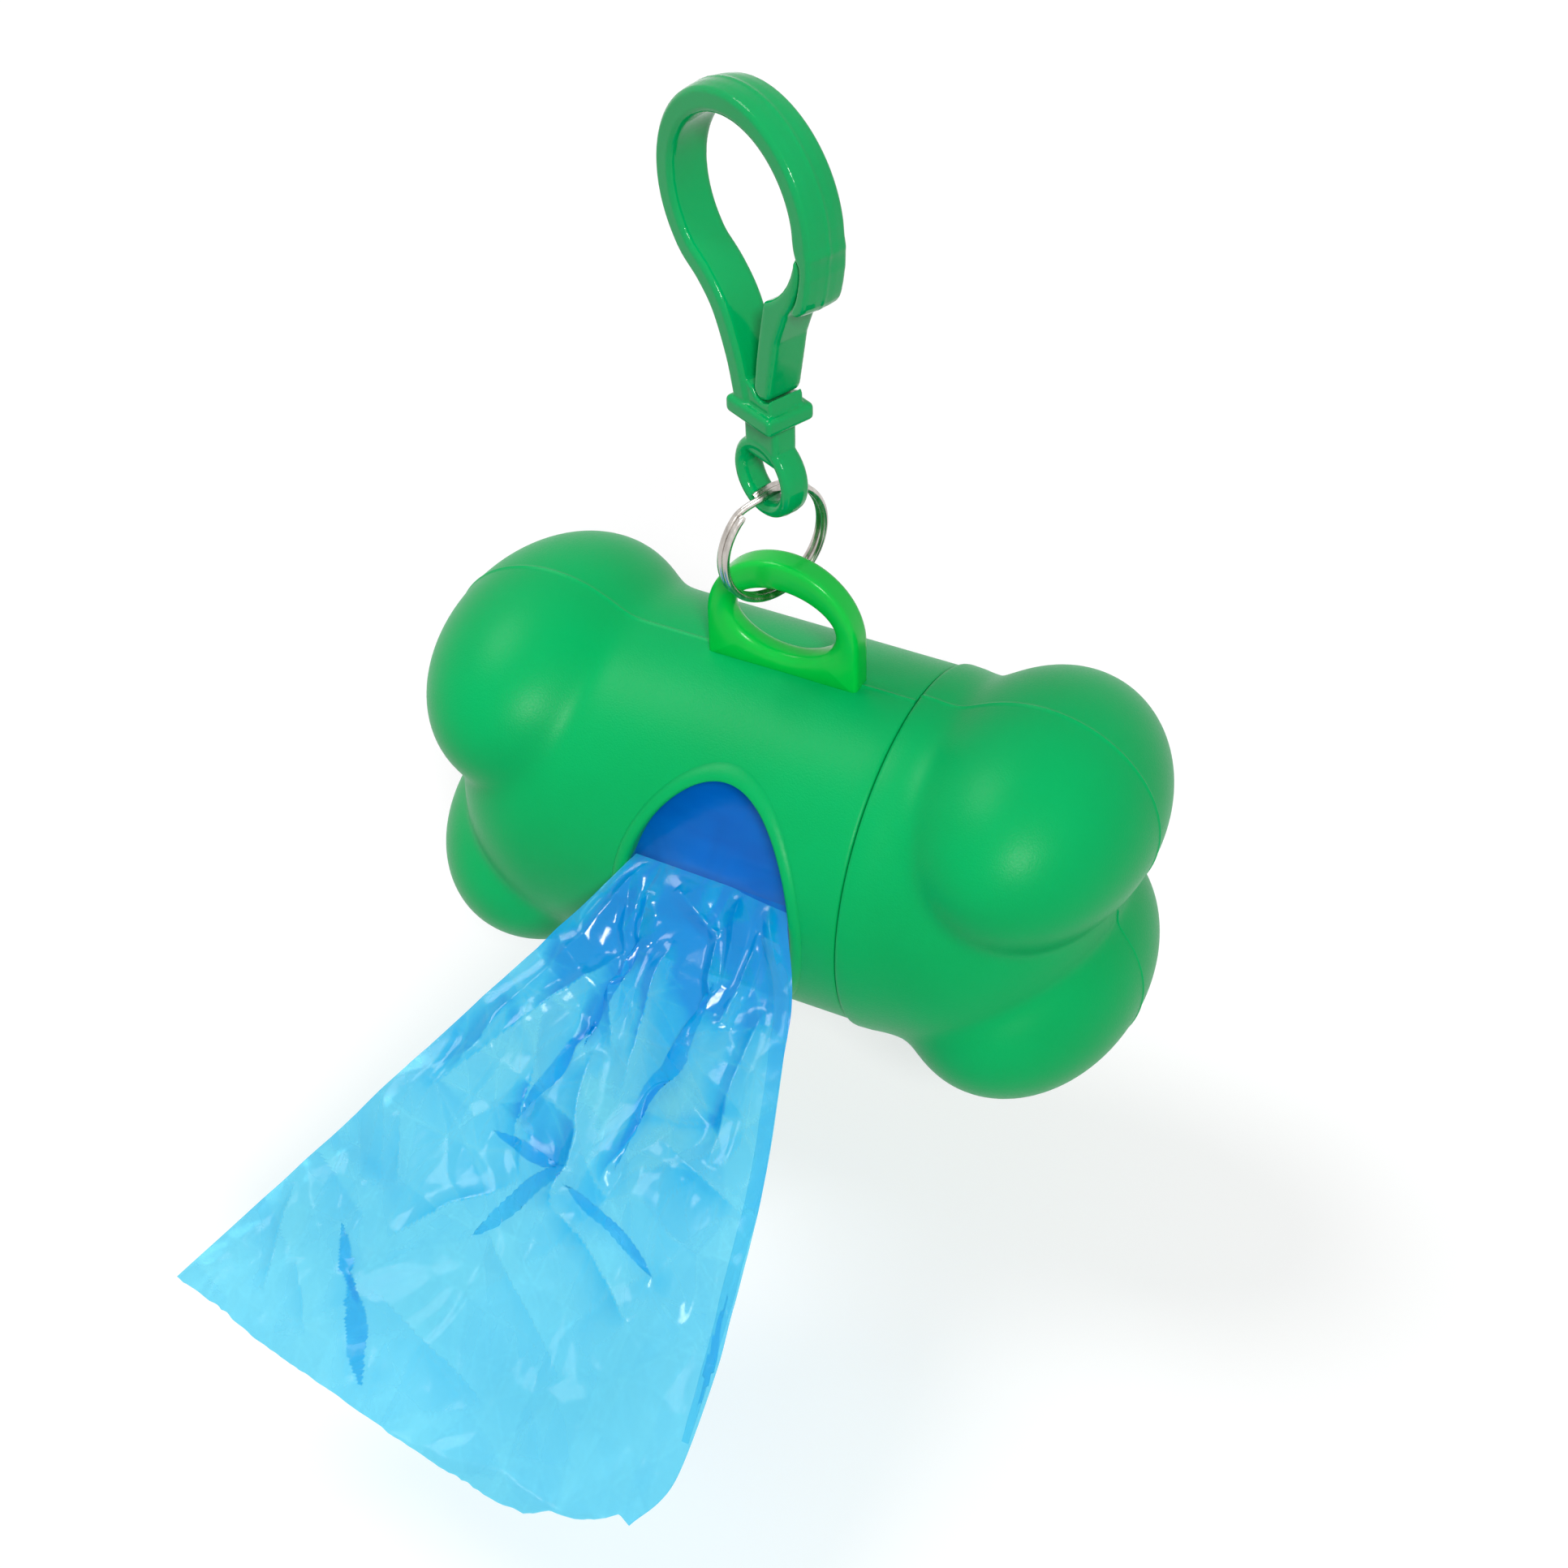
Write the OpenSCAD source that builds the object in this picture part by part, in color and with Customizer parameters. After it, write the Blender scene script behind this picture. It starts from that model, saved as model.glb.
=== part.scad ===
// Bone-shaped dispenser for rolls of dog waste bags, on a split ring and a snap hook.
// The origin is the middle of the hook's round bend, where the whole thing hangs.
// +X runs along the bone towards its pull-off cap, +Z is up and the bag slot faces -Y.

/* [Bone] */
// Outside diameter of the tube that holds the roll
tube_d = 40; // [38:0.5:44]
// Wall of the moulded shells
wall = 1.6; // [1.2:0.1:2]
// Distance along the bone between the two pairs of knobs
knob_span = 57; // [55:0.5:64]
// Length of a knob along the bone
knob_l = 26.4; // [24:0.2:29]
// Width of a knob across the bone
knob_w = 36.6; // [33:0.2:38]
// Height of a knob
knob_h = 24.8; // [24:0.2:28]
// Height of a knob's middle above the bone's axis
knob_rise = 10.8; // [10:0.1:11.6]
// Length of the dome that closes the tube between the knobs
dome_l = 15.5; // [14:0.1:17]
// Distance from the knobs' middle back to the start of the dome
dome_back = 6; // [4.5:0.1:7]
// Softness of the blend between knobs and tube
blend = 1.2; // [0.6:0.1:1.8]

/* [Cap and neck] */
// Distance from the seam to the middle of the cap's knobs
cap_l = 14; // [13:0.1:16]
// How far the cap stands proud of the tube all round
cap_lip = 0.4; // [0.2:0.1:0.8]
// Gap between the cap's rim and the tube's shoulder
seam_gap = 0.15; // [0.1:0.05:0.3]
// Length of the neck that the cap pushes over
neck_l = 7; // [5:0.5:9]
// Wall of the neck
neck_wall = 1.5; // [1.2:0.1:1.8]
// Distance that the thick root of the neck reaches back into the tube
neck_root_l = 3; // [2:0.1:3.4]
// Radial gap between neck and cap
neck_gap = 0.3; // [0.25:0.05:0.5]
// Gap between the snap bead and the cap's bore
bead_gap = 0.06; // [0.03:0.01:0.1]
// Length of the snap bead along the neck
bead_l = 1.2; // [0.8:0.1:1.6]
// Distance from the seam to the middle of the snap bead
bead_x = 5; // [4.5:0.1:5.8]

/* [Bag slot] */
// Width of the slot along the bone
slot_w = 19.6; // [17:0.2:21]
// Height of the slot, seen from the front
slot_h = 28.4; // [25:0.2:29]
// Width of the raised rim round the slot, seen from the front
slot_rim_w = 1.6; // [1:0.1:1.7]
// How far the rim stands out from the tube
slot_rim_t = 0.5; // [0.3:0.1:0.8]
// Distance from the slot's middle to the seam
slot_x = 15; // [14.8:0.1:15.6]
// Length of plain tube between the slot's rim and the closed end
rim_margin = 2.4; // [1.6:0.1:3]

/* [Hanging loop] */
// Width of the loop along the bone
loop_w = 18; // [17:0.2:22]
// Height of the loop above the tube
loop_h = 14; // [13:0.2:18]
// Thickness of the loop
loop_t = 3; // [2:0.1:3.6]
// Width of the loop's hole
loop_hole_w = 12.4; // [11:0.2:13]
// Height of the loop's hole
loop_hole_h = 8.4; // [7.6:0.2:9]
// Thickness of the loop's bar over its hole
loop_bar = 3.8; // [3:0.1:4.6]
// Depth of the seat that the loop's foot is set into
loop_seat = 0.4; // [0.3:0.1:0.8]
// Distance from the loop's middle to the seam
loop_x = 14.8; // [13:0.1:16]

/* [Split ring] */
// Outside diameter of the split ring
ring_od = 13.6; // [12.6:0.2:18]
// Diameter of the ring's wire
wire_d = 0.8; // [0.6:0.05:1]
// Angle of the gap at each end of the ring's wire
wire_end = 12; // [6:1:24]
// Distance along the loop from its middle to the ring
ring_off = 1.4; // [0:0.1:2.4]
// Play between the ring and what it hangs in
link_gap = 0.25; // [0.2:0.05:0.4]

/* [Snap hook] */
// Angle that the hook is turned about the upright, against the bone
hook_turn = 25; // [0:1:40]
// Outside diameter of the eye
eye_d = 8.8; // [8:0.1:10]
// Diameter of the eye's hole
eye_hole_d = 5.8; // [5:0.1:6.4]
// Thickness of the eye and of the stem above it
eye_t = 2.9; // [2.4:0.1:3.6]
// Width of the stem
stem_w = 5.1; // [4:0.1:6]
// Distance from the middle of the eye to the underside of the collar
stem_l = 6.9; // [6:0.1:9]
// Width of the collar
collar_w = 7; // [6.6:0.1:8]
// Depth of the collar
collar_d = 5.8; // [5:0.1:7]
// Thickness of the collar
collar_t = 1.9; // [1.4:0.1:2.6]
// Step from the collar's side in to the arm's root above it
root_step = 0.4; // [0.2:0.1:0.6]
// Inside diameter of the hook's round bend
bend_d = 18.2; // [17.4:0.1:18.8]
// Height of the bend's middle above the collar
bend_rise = 20.5; // [20:0.1:21]
// Distance from the stem's middle line to the bend's middle
bend_off = 2.4; // [2:0.1:2.8]
// Thickness of the hook's arm in its own plane
hook_t = 2.4; // [2:0.1:2.8]
// Depth of the hook's arm
hook_d = 4.3; // [3.4:0.1:5]
// How far the nose flares outwards at its end
nose_flare = 1.5; // [1.3:0.1:1.8]
// Relief inside the nose that takes the gate's beak
nose_relief = 2.3; // [1.8:0.1:2.4]

/* [Gate] */
// Thickness of the gate's finger at its root
gate_t = 2.5; // [2:0.1:2.8]
// Depth of the gate
gate_d = 3.9; // [3:0.1:4.6]
// Distance from the stem's middle line to the gate's root
gate_x = 1.35; // [1.2:0.05:1.5]
// Height of the gate's root above the collar
gate_rise = 2.4; // [2:0.1:2.8]
// Radial play at the gate's root
root_gap = 0.08; // [0.03:0.01:0.1]
// Gap between the gate's beak and the hook's nose
beak_gap = 0.3; // [0.2:0.05:0.5]
// Height of the gate's finger above its root
finger_l = 6.2; // [5:0.1:7]
// Width that the finger gains on its outer side
finger_flare = 1.2; // [0.8:0.1:1.4]
// Width that the finger loses on its inner side
finger_taper = 1; // [0.6:0.1:1.2]
// Angle round the bend at which the beak's tip ends
beak_tip = 8; // [8:1:14]

/* [Bag roll] */
// Length of the roll, which is also the width of a folded bag
bag_w = 57; // [52:0.5:58]
// Outside diameter of the cardboard core
core_d = 14; // [10:0.5:18]
// Wall of the cardboard core
core_wall = 1; // [0.6:0.1:1.6]
// Radial room that a new roll leaves inside the neck
roll_room = 1.5; // [0.8:0.1:4]
// Gap between the roll and the neck it lies in
roll_gap = 0.2; // [0.1:0.05:0.4]

/* [Pulled bag] */
// Length of the bag that hangs out, from the slot to its torn end
bag_l = 59; // [50:1:64]
// Gap between the film's inner end and the roll
tail_gap = 0.4; // [0.2:0.1:1]
// Thickness of the crumpled film as a solid
film_t = 0.8; // [0.5:0.1:1.2]
// Slope of the film below the level
bag_slope = 27.5; // [24:0.5:30]
// Height of the film above the bone's axis, where it passes the slot
film_z = 3.4; // [2:0.1:4]
// Side play of the film in the slot
film_gap = 0.5; // [0.3:0.1:1]
// Distance that the torn end's middle lies towards the closed end of the bone
bag_lean = 8.5; // [0:0.5:10]
// How far the bag's edge near the cap bulges past the slot
bulge = 12; // [8:0.5:13]
// Distance from the slot to the bulge
bulge_y = 42; // [36:0.5:46]
// Angle of the torn end against the bone's axis
torn_angle = 5.5; // [0:0.5:8]

/* [Hidden] */
$fn = 96;
// Segments round a bone end and rings from its mouth to its tip
end_sides = 64;
end_rings = 24;
inner_rings = 12;
// Corners of the slot's and the loop hole's oval outlines
oval_sides = 48;
// Overlap of cutting shapes past the faces that they cut
past = 1;

tube_r = tube_d / 2;
cap_r = tube_r + cap_lip;
neck_r = cap_r - wall - neck_gap;
neck_bore_r = neck_r - neck_wall;
knob_r = [knob_l, knob_w, knob_h] / 2;
// Start of the rays that find a bone end's surface, from the knobs' middle
heart_x = -dome_back / 3;
// Where the closed bone end joins the tube
// There the faceted end runs a little way inside the wall of the round tube
join_step = 0.05;
join_l = 0.5;
tube_end_x = -slot_x - slot_w / 2 - slot_rim_w - rim_margin;
bead_t = neck_gap - bead_gap;

// Middle of the loop's hole, the ring and the eye, one hanging in the next
loop_top_z = tube_r + loop_h;
loop_hole_z = loop_top_z - loop_bar - loop_hole_h / 2;
ring_mid_r = (ring_od - wire_d) / 2;
ring_x = -loop_x - ring_off;
ring_share = (ring_off + wire_d) / (loop_hole_w / 2);
loop_under_z = loop_hole_z + loop_hole_h / 2 * sqrt(1 - ring_share * ring_share);
function ring_rise(t) = ring_mid_r - sqrt(ring_mid_r * ring_mid_r - t * t / 4);
ring_low_z = loop_under_z - wire_d / 2 - ring_rise(loop_t / cos(hook_turn)) - link_gap;
ring_z = ring_low_z + ring_mid_r;
eye_hole_r = eye_hole_d / 2;
eye_side = eye_hole_r - sqrt(eye_hole_r * eye_hole_r - wire_d * wire_d);
eye_low_z = ring_z + ring_mid_r - wire_d / 2 - ring_rise(eye_t) - eye_side - link_gap;
eye_z = eye_low_z + eye_hole_r;

// The hook's outline, measured from the middle of its eye
collar_z = stem_l + collar_t;
bend = [-bend_off, collar_z + bend_rise];
bend_in_r = bend_d / 2;
bend_mid_r = bend_in_r + hook_t / 2;
bend_out_r = bend_in_r + hook_t;
// Where the round bend ends at the nose and where it runs into the long arm
shoulder_angle = -4;
nose_angle = -43;
arm_angle = 232;
// The long arm turns back towards the collar on this radius and by this angle
arm_turn_r = 10;
arm_turn = 30;
arm_dir = arm_angle + 90 - arm_turn;
gate_root = [gate_x, collar_z + gate_rise];
// Angles at which the beak leaves the round bend below and passes the nose's end
beak_foot = -62;
nose_step = 4;
// The beak's inner side stays this much outside the round bend
beak_inset = 0.05;
// The finger's sides start this much inside the round root
root_inset = 0.15;
// Overlap of the nose with the round bend that it grows out of
nose_join = 2;
// Share of the nose's relief that it already has at its start
nose_start = 0.4;
nose_edge = 0.5;

roll_r = neck_bore_r - roll_room;
roll_z = -(neck_bore_r - roll_r - roll_gap);
roll_x = cap_l - knob_span / 2;

// Middle of the hook's bend in the bone's own frame, which starts at the seam on the axis
hang = [ring_x + bend.x * cos(hook_turn), -bend.x * sin(hook_turn), eye_z + bend.y];

body_green = [0.0, 0.70, 0.38];
loop_green = [0.0, 0.72, 0.22];
hook_green = [0.0, 0.62, 0.34];
steel = [0.78, 0.77, 0.76];
card = [0.72, 0.60, 0.44];
roll_blue = [0.0, 0.30, 0.72];
film_blue = [0.35, 0.78, 0.93, 0.7];

// A point at a distance and an angle
function polar(r, a) = [r * cos(a), r * sin(a)];

// Inner and outer radius of the nose at an angle round the bend
function nose_in(a) = bend_in_r + nose_relief * (nose_start + (1 - nose_start) * a / nose_angle);
function nose_out(a) = bend_out_r + nose_flare * pow(a / nose_angle, 2);

// Distance from p, inside an ellipsoid, to its surface along d
function ellipsoid_exit(p, d, middle, r) =
    let (q = [for (i = [0:2]) (p[i] - middle[i]) / r[i]])
    let (e = [for (i = [0:2]) d[i] / r[i]])
    let (a = e * e, b = q * e, c = q * q - 1)
    (sqrt(max(b * b - a * c, 0)) - b) / a;

// The same for the tube and the dome that closes it
function barrel_exit(p, d, r) =
    let (side = norm([d.y, d.z]))
    let (t = side > 0.001 ? r / side : 1000)
    p.x + t * d.x < -dome_back ? t : ellipsoid_exit(p, d, [-dome_back, 0, 0], [dome_l, r, r]);

// The same for a whole bone end: tube, dome and two knobs, softly blended
function bone_exit(p, d, r) =
    let (tube = barrel_exit(p, d, r))
    let (high = ellipsoid_exit(p, d, [0, 0, knob_rise], knob_r))
    let (low = ellipsoid_exit(p, d, [0, 0, -knob_rise], knob_r))
    blend * ln(exp(tube / blend) + exp(high / blend) + exp(low / blend));

// Ring number i of n on a bone end, thinned by depth; ring 0 is the round mouth
function bone_ring(i, n, r, mouth_x, depth) =
    let (heart = [heart_x, 0, 0])
    let (mouth_angle = atan2(r, mouth_x - heart_x))
    let (a = mouth_angle * (1 - i / n))
    [for (j = [0:end_sides - 1])
        let (b = 360 * j / end_sides)
        let (d = [cos(a), sin(a) * cos(b), sin(a) * sin(b)])
        let (thin = depth / (d.x < 0 ? sin(a) : 1))
        i == 0 ? [mouth_x, (r - depth) * cos(b), (r - depth) * sin(b)]
            : heart + (bone_exit(heart, d, r) - thin) * d];

// A bone end as a closed shell with an open round mouth, its knobs' middle at x = 0
module bone_end(r, mouth_x, depth) {
    outer = [for (i = [0:end_rings - 1]) each bone_ring(i, end_rings, r, mouth_x, 0)];
    inner = [for (i = [0:inner_rings - 1]) each bone_ring(i, inner_rings, r, mouth_x, depth)];
    first_inner = len(outer);
    tips = first_inner + len(inner);
    heart = [heart_x, 0, 0];
    outer_tip = heart + bone_exit(heart, [1, 0, 0], r) * [1, 0, 0];
    points = concat(outer, inner, [outer_tip, outer_tip - [depth, 0, 0]]);
    function at(first, i, j) = first + i * end_sides + j % end_sides;
    outer_skin = [for (i = [0:end_rings - 2], j = [0:end_sides - 1]) each [
        [at(0, i, j), at(0, i + 1, j), at(0, i, j + 1)],
        [at(0, i, j + 1), at(0, i + 1, j), at(0, i + 1, j + 1)]]];
    inner_skin = [for (i = [0:inner_rings - 2], j = [0:end_sides - 1]) each [
        [at(first_inner, i, j), at(first_inner, i, j + 1), at(first_inner, i + 1, j)],
        [at(first_inner, i, j + 1), at(first_inner, i + 1, j + 1), at(first_inner, i + 1, j)]]];
    tip_skin = [for (j = [0:end_sides - 1]) each [
        [at(0, end_rings - 1, j), tips, at(0, end_rings - 1, j + 1)],
        [at(first_inner, inner_rings - 1, j), at(first_inner, inner_rings - 1, j + 1), tips + 1]]];
    mouth = [for (j = [0:end_sides - 1]) each [
        [at(0, 0, j), at(0, 0, j + 1), at(first_inner, 0, j)],
        [at(0, 0, j + 1), at(first_inner, 0, j + 1), at(first_inner, 0, j)]]];
    polyhedron(points, concat(outer_skin, inner_skin, tip_skin, mouth));
}

// A cylinder along the bone from x0 to x1
module along(r, x0, x1) {
    translate([x0, 0, 0]) rotate([0, 90, 0]) cylinder(r = r, h = x1 - x0);
}

// An oval outline of a given width and height
module oval(w, h) {
    polygon([for (i = [0:oval_sides - 1])
        [w / 2 * cos(360 * i / oval_sides), h / 2 * sin(360 * i / oval_sides)]]);
}

// The slot's outline, grown by a margin, as a prism through the front wall
module slot_prism(margin) {
    translate([-slot_x, -tube_r / 2, 0]) rotate([90, 0, 0])
        linear_extrude(tube_r) oval(slot_w + 2 * margin, slot_h + 2 * margin);
}

// The hook's outline is drawn upright and given its depth here
module hook_plate(depth) {
    rotate([0, 0, -hook_turn]) rotate([90, 0, 0]) linear_extrude(depth, center = true) children();
}

// Moves what is drawn about the eye to its place
module at_eye() {
    translate([ring_x, 0, eye_z]) children();
}

// Moves the bone's own frame so that the hook's bend is the origin
module hung() {
    translate(-hang) children();
}

module body_shell() {
    color(body_green) hung() {
        translate([cap_l - knob_span, 0, 0]) mirror([1, 0, 0])
            bone_end(tube_r - join_step, cap_l - knob_span - tube_end_x - join_l, wall - 2 * join_step);
        difference() {
            union() {
                along(tube_r, tube_end_x, 0);
                along(neck_r, -neck_root_l, neck_l);
                along(neck_r + bead_t, bead_x - bead_l / 2, bead_x + bead_l / 2);
                intersection() {
                    slot_prism(slot_rim_w);
                    along(tube_r + slot_rim_t, -slot_x - slot_w, 0);
                }
            }
            along(tube_r - wall, -knob_span, -neck_root_l);
            along(neck_bore_r, -neck_root_l - past, neck_l + past);
            slot_prism(0);
            translate([-loop_x - loop_w / 2, -loop_t / 2, tube_r - loop_seat])
                cube([loop_w, loop_t, loop_h]);
        }
    }
}

module hanging_loop() {
    shoulder_z = loop_top_z - loop_w / 2;
    color(loop_green) hung() translate([-loop_x, loop_t / 2, 0]) rotate([90, 0, 0])
        linear_extrude(loop_t) difference() {
            union() {
                translate([0, shoulder_z]) circle(r = loop_w / 2);
                translate([-loop_w / 2, tube_r - loop_seat]) square([loop_w, shoulder_z - tube_r + loop_seat]);
            }
            translate([0, loop_hole_z]) oval(loop_hole_w, loop_hole_h);
            translate([-loop_w, tube_r - loop_seat - loop_w]) square([2 * loop_w, loop_w]);
        }
}

module end_cap() {
    color(body_green) hung() translate([cap_l, 0, 0]) bone_end(cap_r, seam_gap - cap_l, wall);
}

module split_ring() {
    color(steel) hung() translate([ring_x, 0, ring_z]) rotate([0, 0, -hook_turn])
        rotate([0, 90, 0]) for (side = [-1, 1]) {
            rotate([0, 0, 90 * side]) translate([0, 0, side * wire_d * 0.49])
                rotate([0, 0, wire_end / 2]) rotate_extrude(angle = 360 - wire_end)
                    translate([ring_mid_r, 0]) circle(d = wire_d, $fn = 24);
        }
}

// The long arm's middle line, from the bend to the collar
function arm_line() =
    let (start = bend + polar(bend_mid_r, arm_angle))
    let (turn_mid = start + polar(arm_turn_r, arm_angle))
    let (turn = [for (i = [0:6]) turn_mid - polar(arm_turn_r, arm_angle - arm_turn * i / 6)])
    let (last = turn[6], drop = collar_z - last.y)
    concat(turn, [last + drop / sin(arm_dir) * polar(1, arm_dir)]);

// A strip of even width along a line
module strip(line, w) {
    for (i = [0:len(line) - 2]) {
        d = (line[i + 1] - line[i]) / norm(line[i + 1] - line[i]);
        side = w / 2 * [-d.y, d.x];
        polygon([line[i] + side, line[i] - side, line[i + 1] - side, line[i + 1] + side]);
        if (i > 0) translate(line[i]) circle(d = w, $fn = 32);
    }
}

module snap_hook() {
    color(hook_green) hung() at_eye() {
        hook_plate(hook_d) {
            difference() {
                translate(bend) circle(r = bend_out_r);
                translate(bend) circle(r = bend_in_r);
                translate(bend) polygon([[0, 0], for (a = [arm_angle, 270, 320, 360 + shoulder_angle])
                    polar(2 * bend_out_r, a)]);
            }
            translate(bend) polygon(concat(
                [polar(bend_out_r - root_inset, shoulder_angle + nose_join)],
                [for (a = [shoulder_angle - nose_join / 2:-6:nose_angle + nose_step]) polar(nose_out(a), a)],
                [polar(nose_out(nose_angle) - nose_edge, nose_angle + nose_edge)],
                [for (a = [nose_angle:6:shoulder_angle - nose_join]) polar(nose_in(a), a)],
                [polar(bend_in_r + hook_t / 4, shoulder_angle + nose_join)]));
            difference() {
                union() {
                    strip(arm_line(), hook_t);
                    translate([-collar_w / 2 + root_step, collar_z - collar_t / 2])
                        square([collar_w - 2 * root_step, collar_t / 2 + gate_rise]);
                }
                translate(gate_root) circle(r = gate_t / 2 + root_gap);
                translate([-collar_w, stem_l - collar_t]) square([2 * collar_w, collar_t]);
            }
        }
        hook_plate(collar_d) translate([-collar_w / 2, stem_l]) square([collar_w, collar_t]);
        hook_plate(eye_t) difference() {
            union() {
                circle(d = eye_d);
                translate([-stem_w / 2, 0]) square([stem_w, stem_l + collar_t / 2]);
            }
            circle(d = eye_hole_d);
        }
    }
}

module hook_gate() {
    inner_r = bend_in_r + beak_inset;
    color(hook_green) hung() at_eye() {
        hook_plate(gate_d) translate(gate_root) circle(d = gate_t);
        hook_plate(gate_d) polygon(concat(
            [gate_root - [gate_t / 2 - root_inset, 0],
             gate_root + [-gate_t / 2 + finger_taper, finger_l]],
            [for (i = [0:8]) bend + polar(inner_r, beak_foot + (-beak_tip - beak_foot) * i / 8)],
            [for (i = [0:6]) let (a = -beak_tip + (nose_angle - nose_step + beak_tip) * i / 6)
                bend + polar(nose_in(a) - beak_gap, a)],
            [gate_root + [gate_t / 2 + finger_flare, finger_l],
             gate_root + [gate_t / 2 - root_inset, 0]]));
    }
}

module roll_core() {
    color(card) hung() translate([0, 0, roll_z]) difference() {
        along(core_d / 2, roll_x - bag_w / 2, roll_x + bag_w / 2);
        along(core_d / 2 - core_wall, roll_x - bag_w / 2 - past, roll_x + bag_w / 2 + past);
    }
}

module bag_roll() {
    color(roll_blue) hung() translate([0, 0, roll_z]) difference() {
        along(roll_r, roll_x - bag_w / 2, roll_x + bag_w / 2);
        along(core_d / 2, roll_x - bag_w / 2 - past, roll_x + bag_w / 2 + past);
    }
}

module pulled_bag() {
    high_share = (film_z + 2 * film_t) / (slot_h / 2);
    throat = slot_w / 2 * sqrt(1 - high_share * high_share) - film_gap;
    inwards = [cos(bag_slope), sin(bag_slope)];
    start = [-tube_r, film_z - roll_z];
    reach = start * inwards;
    tail_r = roll_r + film_t + tail_gap;
    tail_l = -reach - sqrt(reach * reach - start * start + tail_r * tail_r);
    color(film_blue) hung() translate([-slot_x, -tube_r, film_z]) rotate([bag_slope, 0, 0])
        translate([0, 0, -film_t / 2]) linear_extrude(film_t)
            polygon([
                [-throat, tail_l], [-throat, 0],
                [-bag_lean - bag_w / 2 * cos(torn_angle), -bag_l + bag_w / 2 * sin(torn_angle)],
                [-bag_lean + bag_w / 2 * cos(torn_angle), -bag_l - bag_w / 2 * sin(torn_angle)],
                [throat + bulge, -bulge_y], [throat, 0], [throat, tail_l]]);
}

body_shell();
hanging_loop();
end_cap();
split_ring();
snap_hook();
hook_gate();
roll_core();
bag_roll();
pulled_bag();
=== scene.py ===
"""Looks of the bone-shaped dog waste bag dispenser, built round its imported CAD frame."""
import math

import bmesh
import bpy
import numpy as np
from mathutils import Matrix, Vector

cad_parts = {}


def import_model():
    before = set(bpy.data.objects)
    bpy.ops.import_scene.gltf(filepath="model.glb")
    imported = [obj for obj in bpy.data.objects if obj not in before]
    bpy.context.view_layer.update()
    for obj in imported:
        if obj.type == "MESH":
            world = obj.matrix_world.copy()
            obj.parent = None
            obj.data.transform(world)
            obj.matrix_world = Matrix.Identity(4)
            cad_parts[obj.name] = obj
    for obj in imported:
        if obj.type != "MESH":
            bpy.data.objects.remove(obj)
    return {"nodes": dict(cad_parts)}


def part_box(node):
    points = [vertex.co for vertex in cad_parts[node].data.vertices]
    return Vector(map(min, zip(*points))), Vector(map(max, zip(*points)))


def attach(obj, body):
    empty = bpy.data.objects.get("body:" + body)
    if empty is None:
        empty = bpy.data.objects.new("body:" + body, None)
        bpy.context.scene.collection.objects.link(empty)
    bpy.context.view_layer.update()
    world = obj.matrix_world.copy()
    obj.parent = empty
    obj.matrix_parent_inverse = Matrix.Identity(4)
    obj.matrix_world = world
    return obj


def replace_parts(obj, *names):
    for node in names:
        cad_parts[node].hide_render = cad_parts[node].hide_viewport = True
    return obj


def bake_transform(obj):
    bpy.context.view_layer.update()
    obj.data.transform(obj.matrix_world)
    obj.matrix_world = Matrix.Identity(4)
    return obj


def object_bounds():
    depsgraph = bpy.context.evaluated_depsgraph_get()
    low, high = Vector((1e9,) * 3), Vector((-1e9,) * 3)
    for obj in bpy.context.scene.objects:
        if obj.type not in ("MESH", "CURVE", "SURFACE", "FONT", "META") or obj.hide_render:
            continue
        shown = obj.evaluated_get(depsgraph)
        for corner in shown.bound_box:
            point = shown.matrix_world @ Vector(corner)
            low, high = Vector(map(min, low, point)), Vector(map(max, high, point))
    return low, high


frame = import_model()
cad_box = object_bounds()

# Shapes are written in mm in the bone's own frame: x runs along it from the seam to the cap, -y out of the slot, z up.
MM = 0.001
TUBE_R = 20.0
WALL = 1.6
SEAM_GAP = 0.15
# The bone's origin in the row frame, in metres: the point on its axis at the seam
cap_low, cap_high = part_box("end_cap")
ORIGIN = Vector((cap_low.x - SEAM_GAP * MM, (cap_low.y + cap_high.y) / 2, (cap_low.z + cap_high.z) / 2))

# ---- materials


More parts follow.
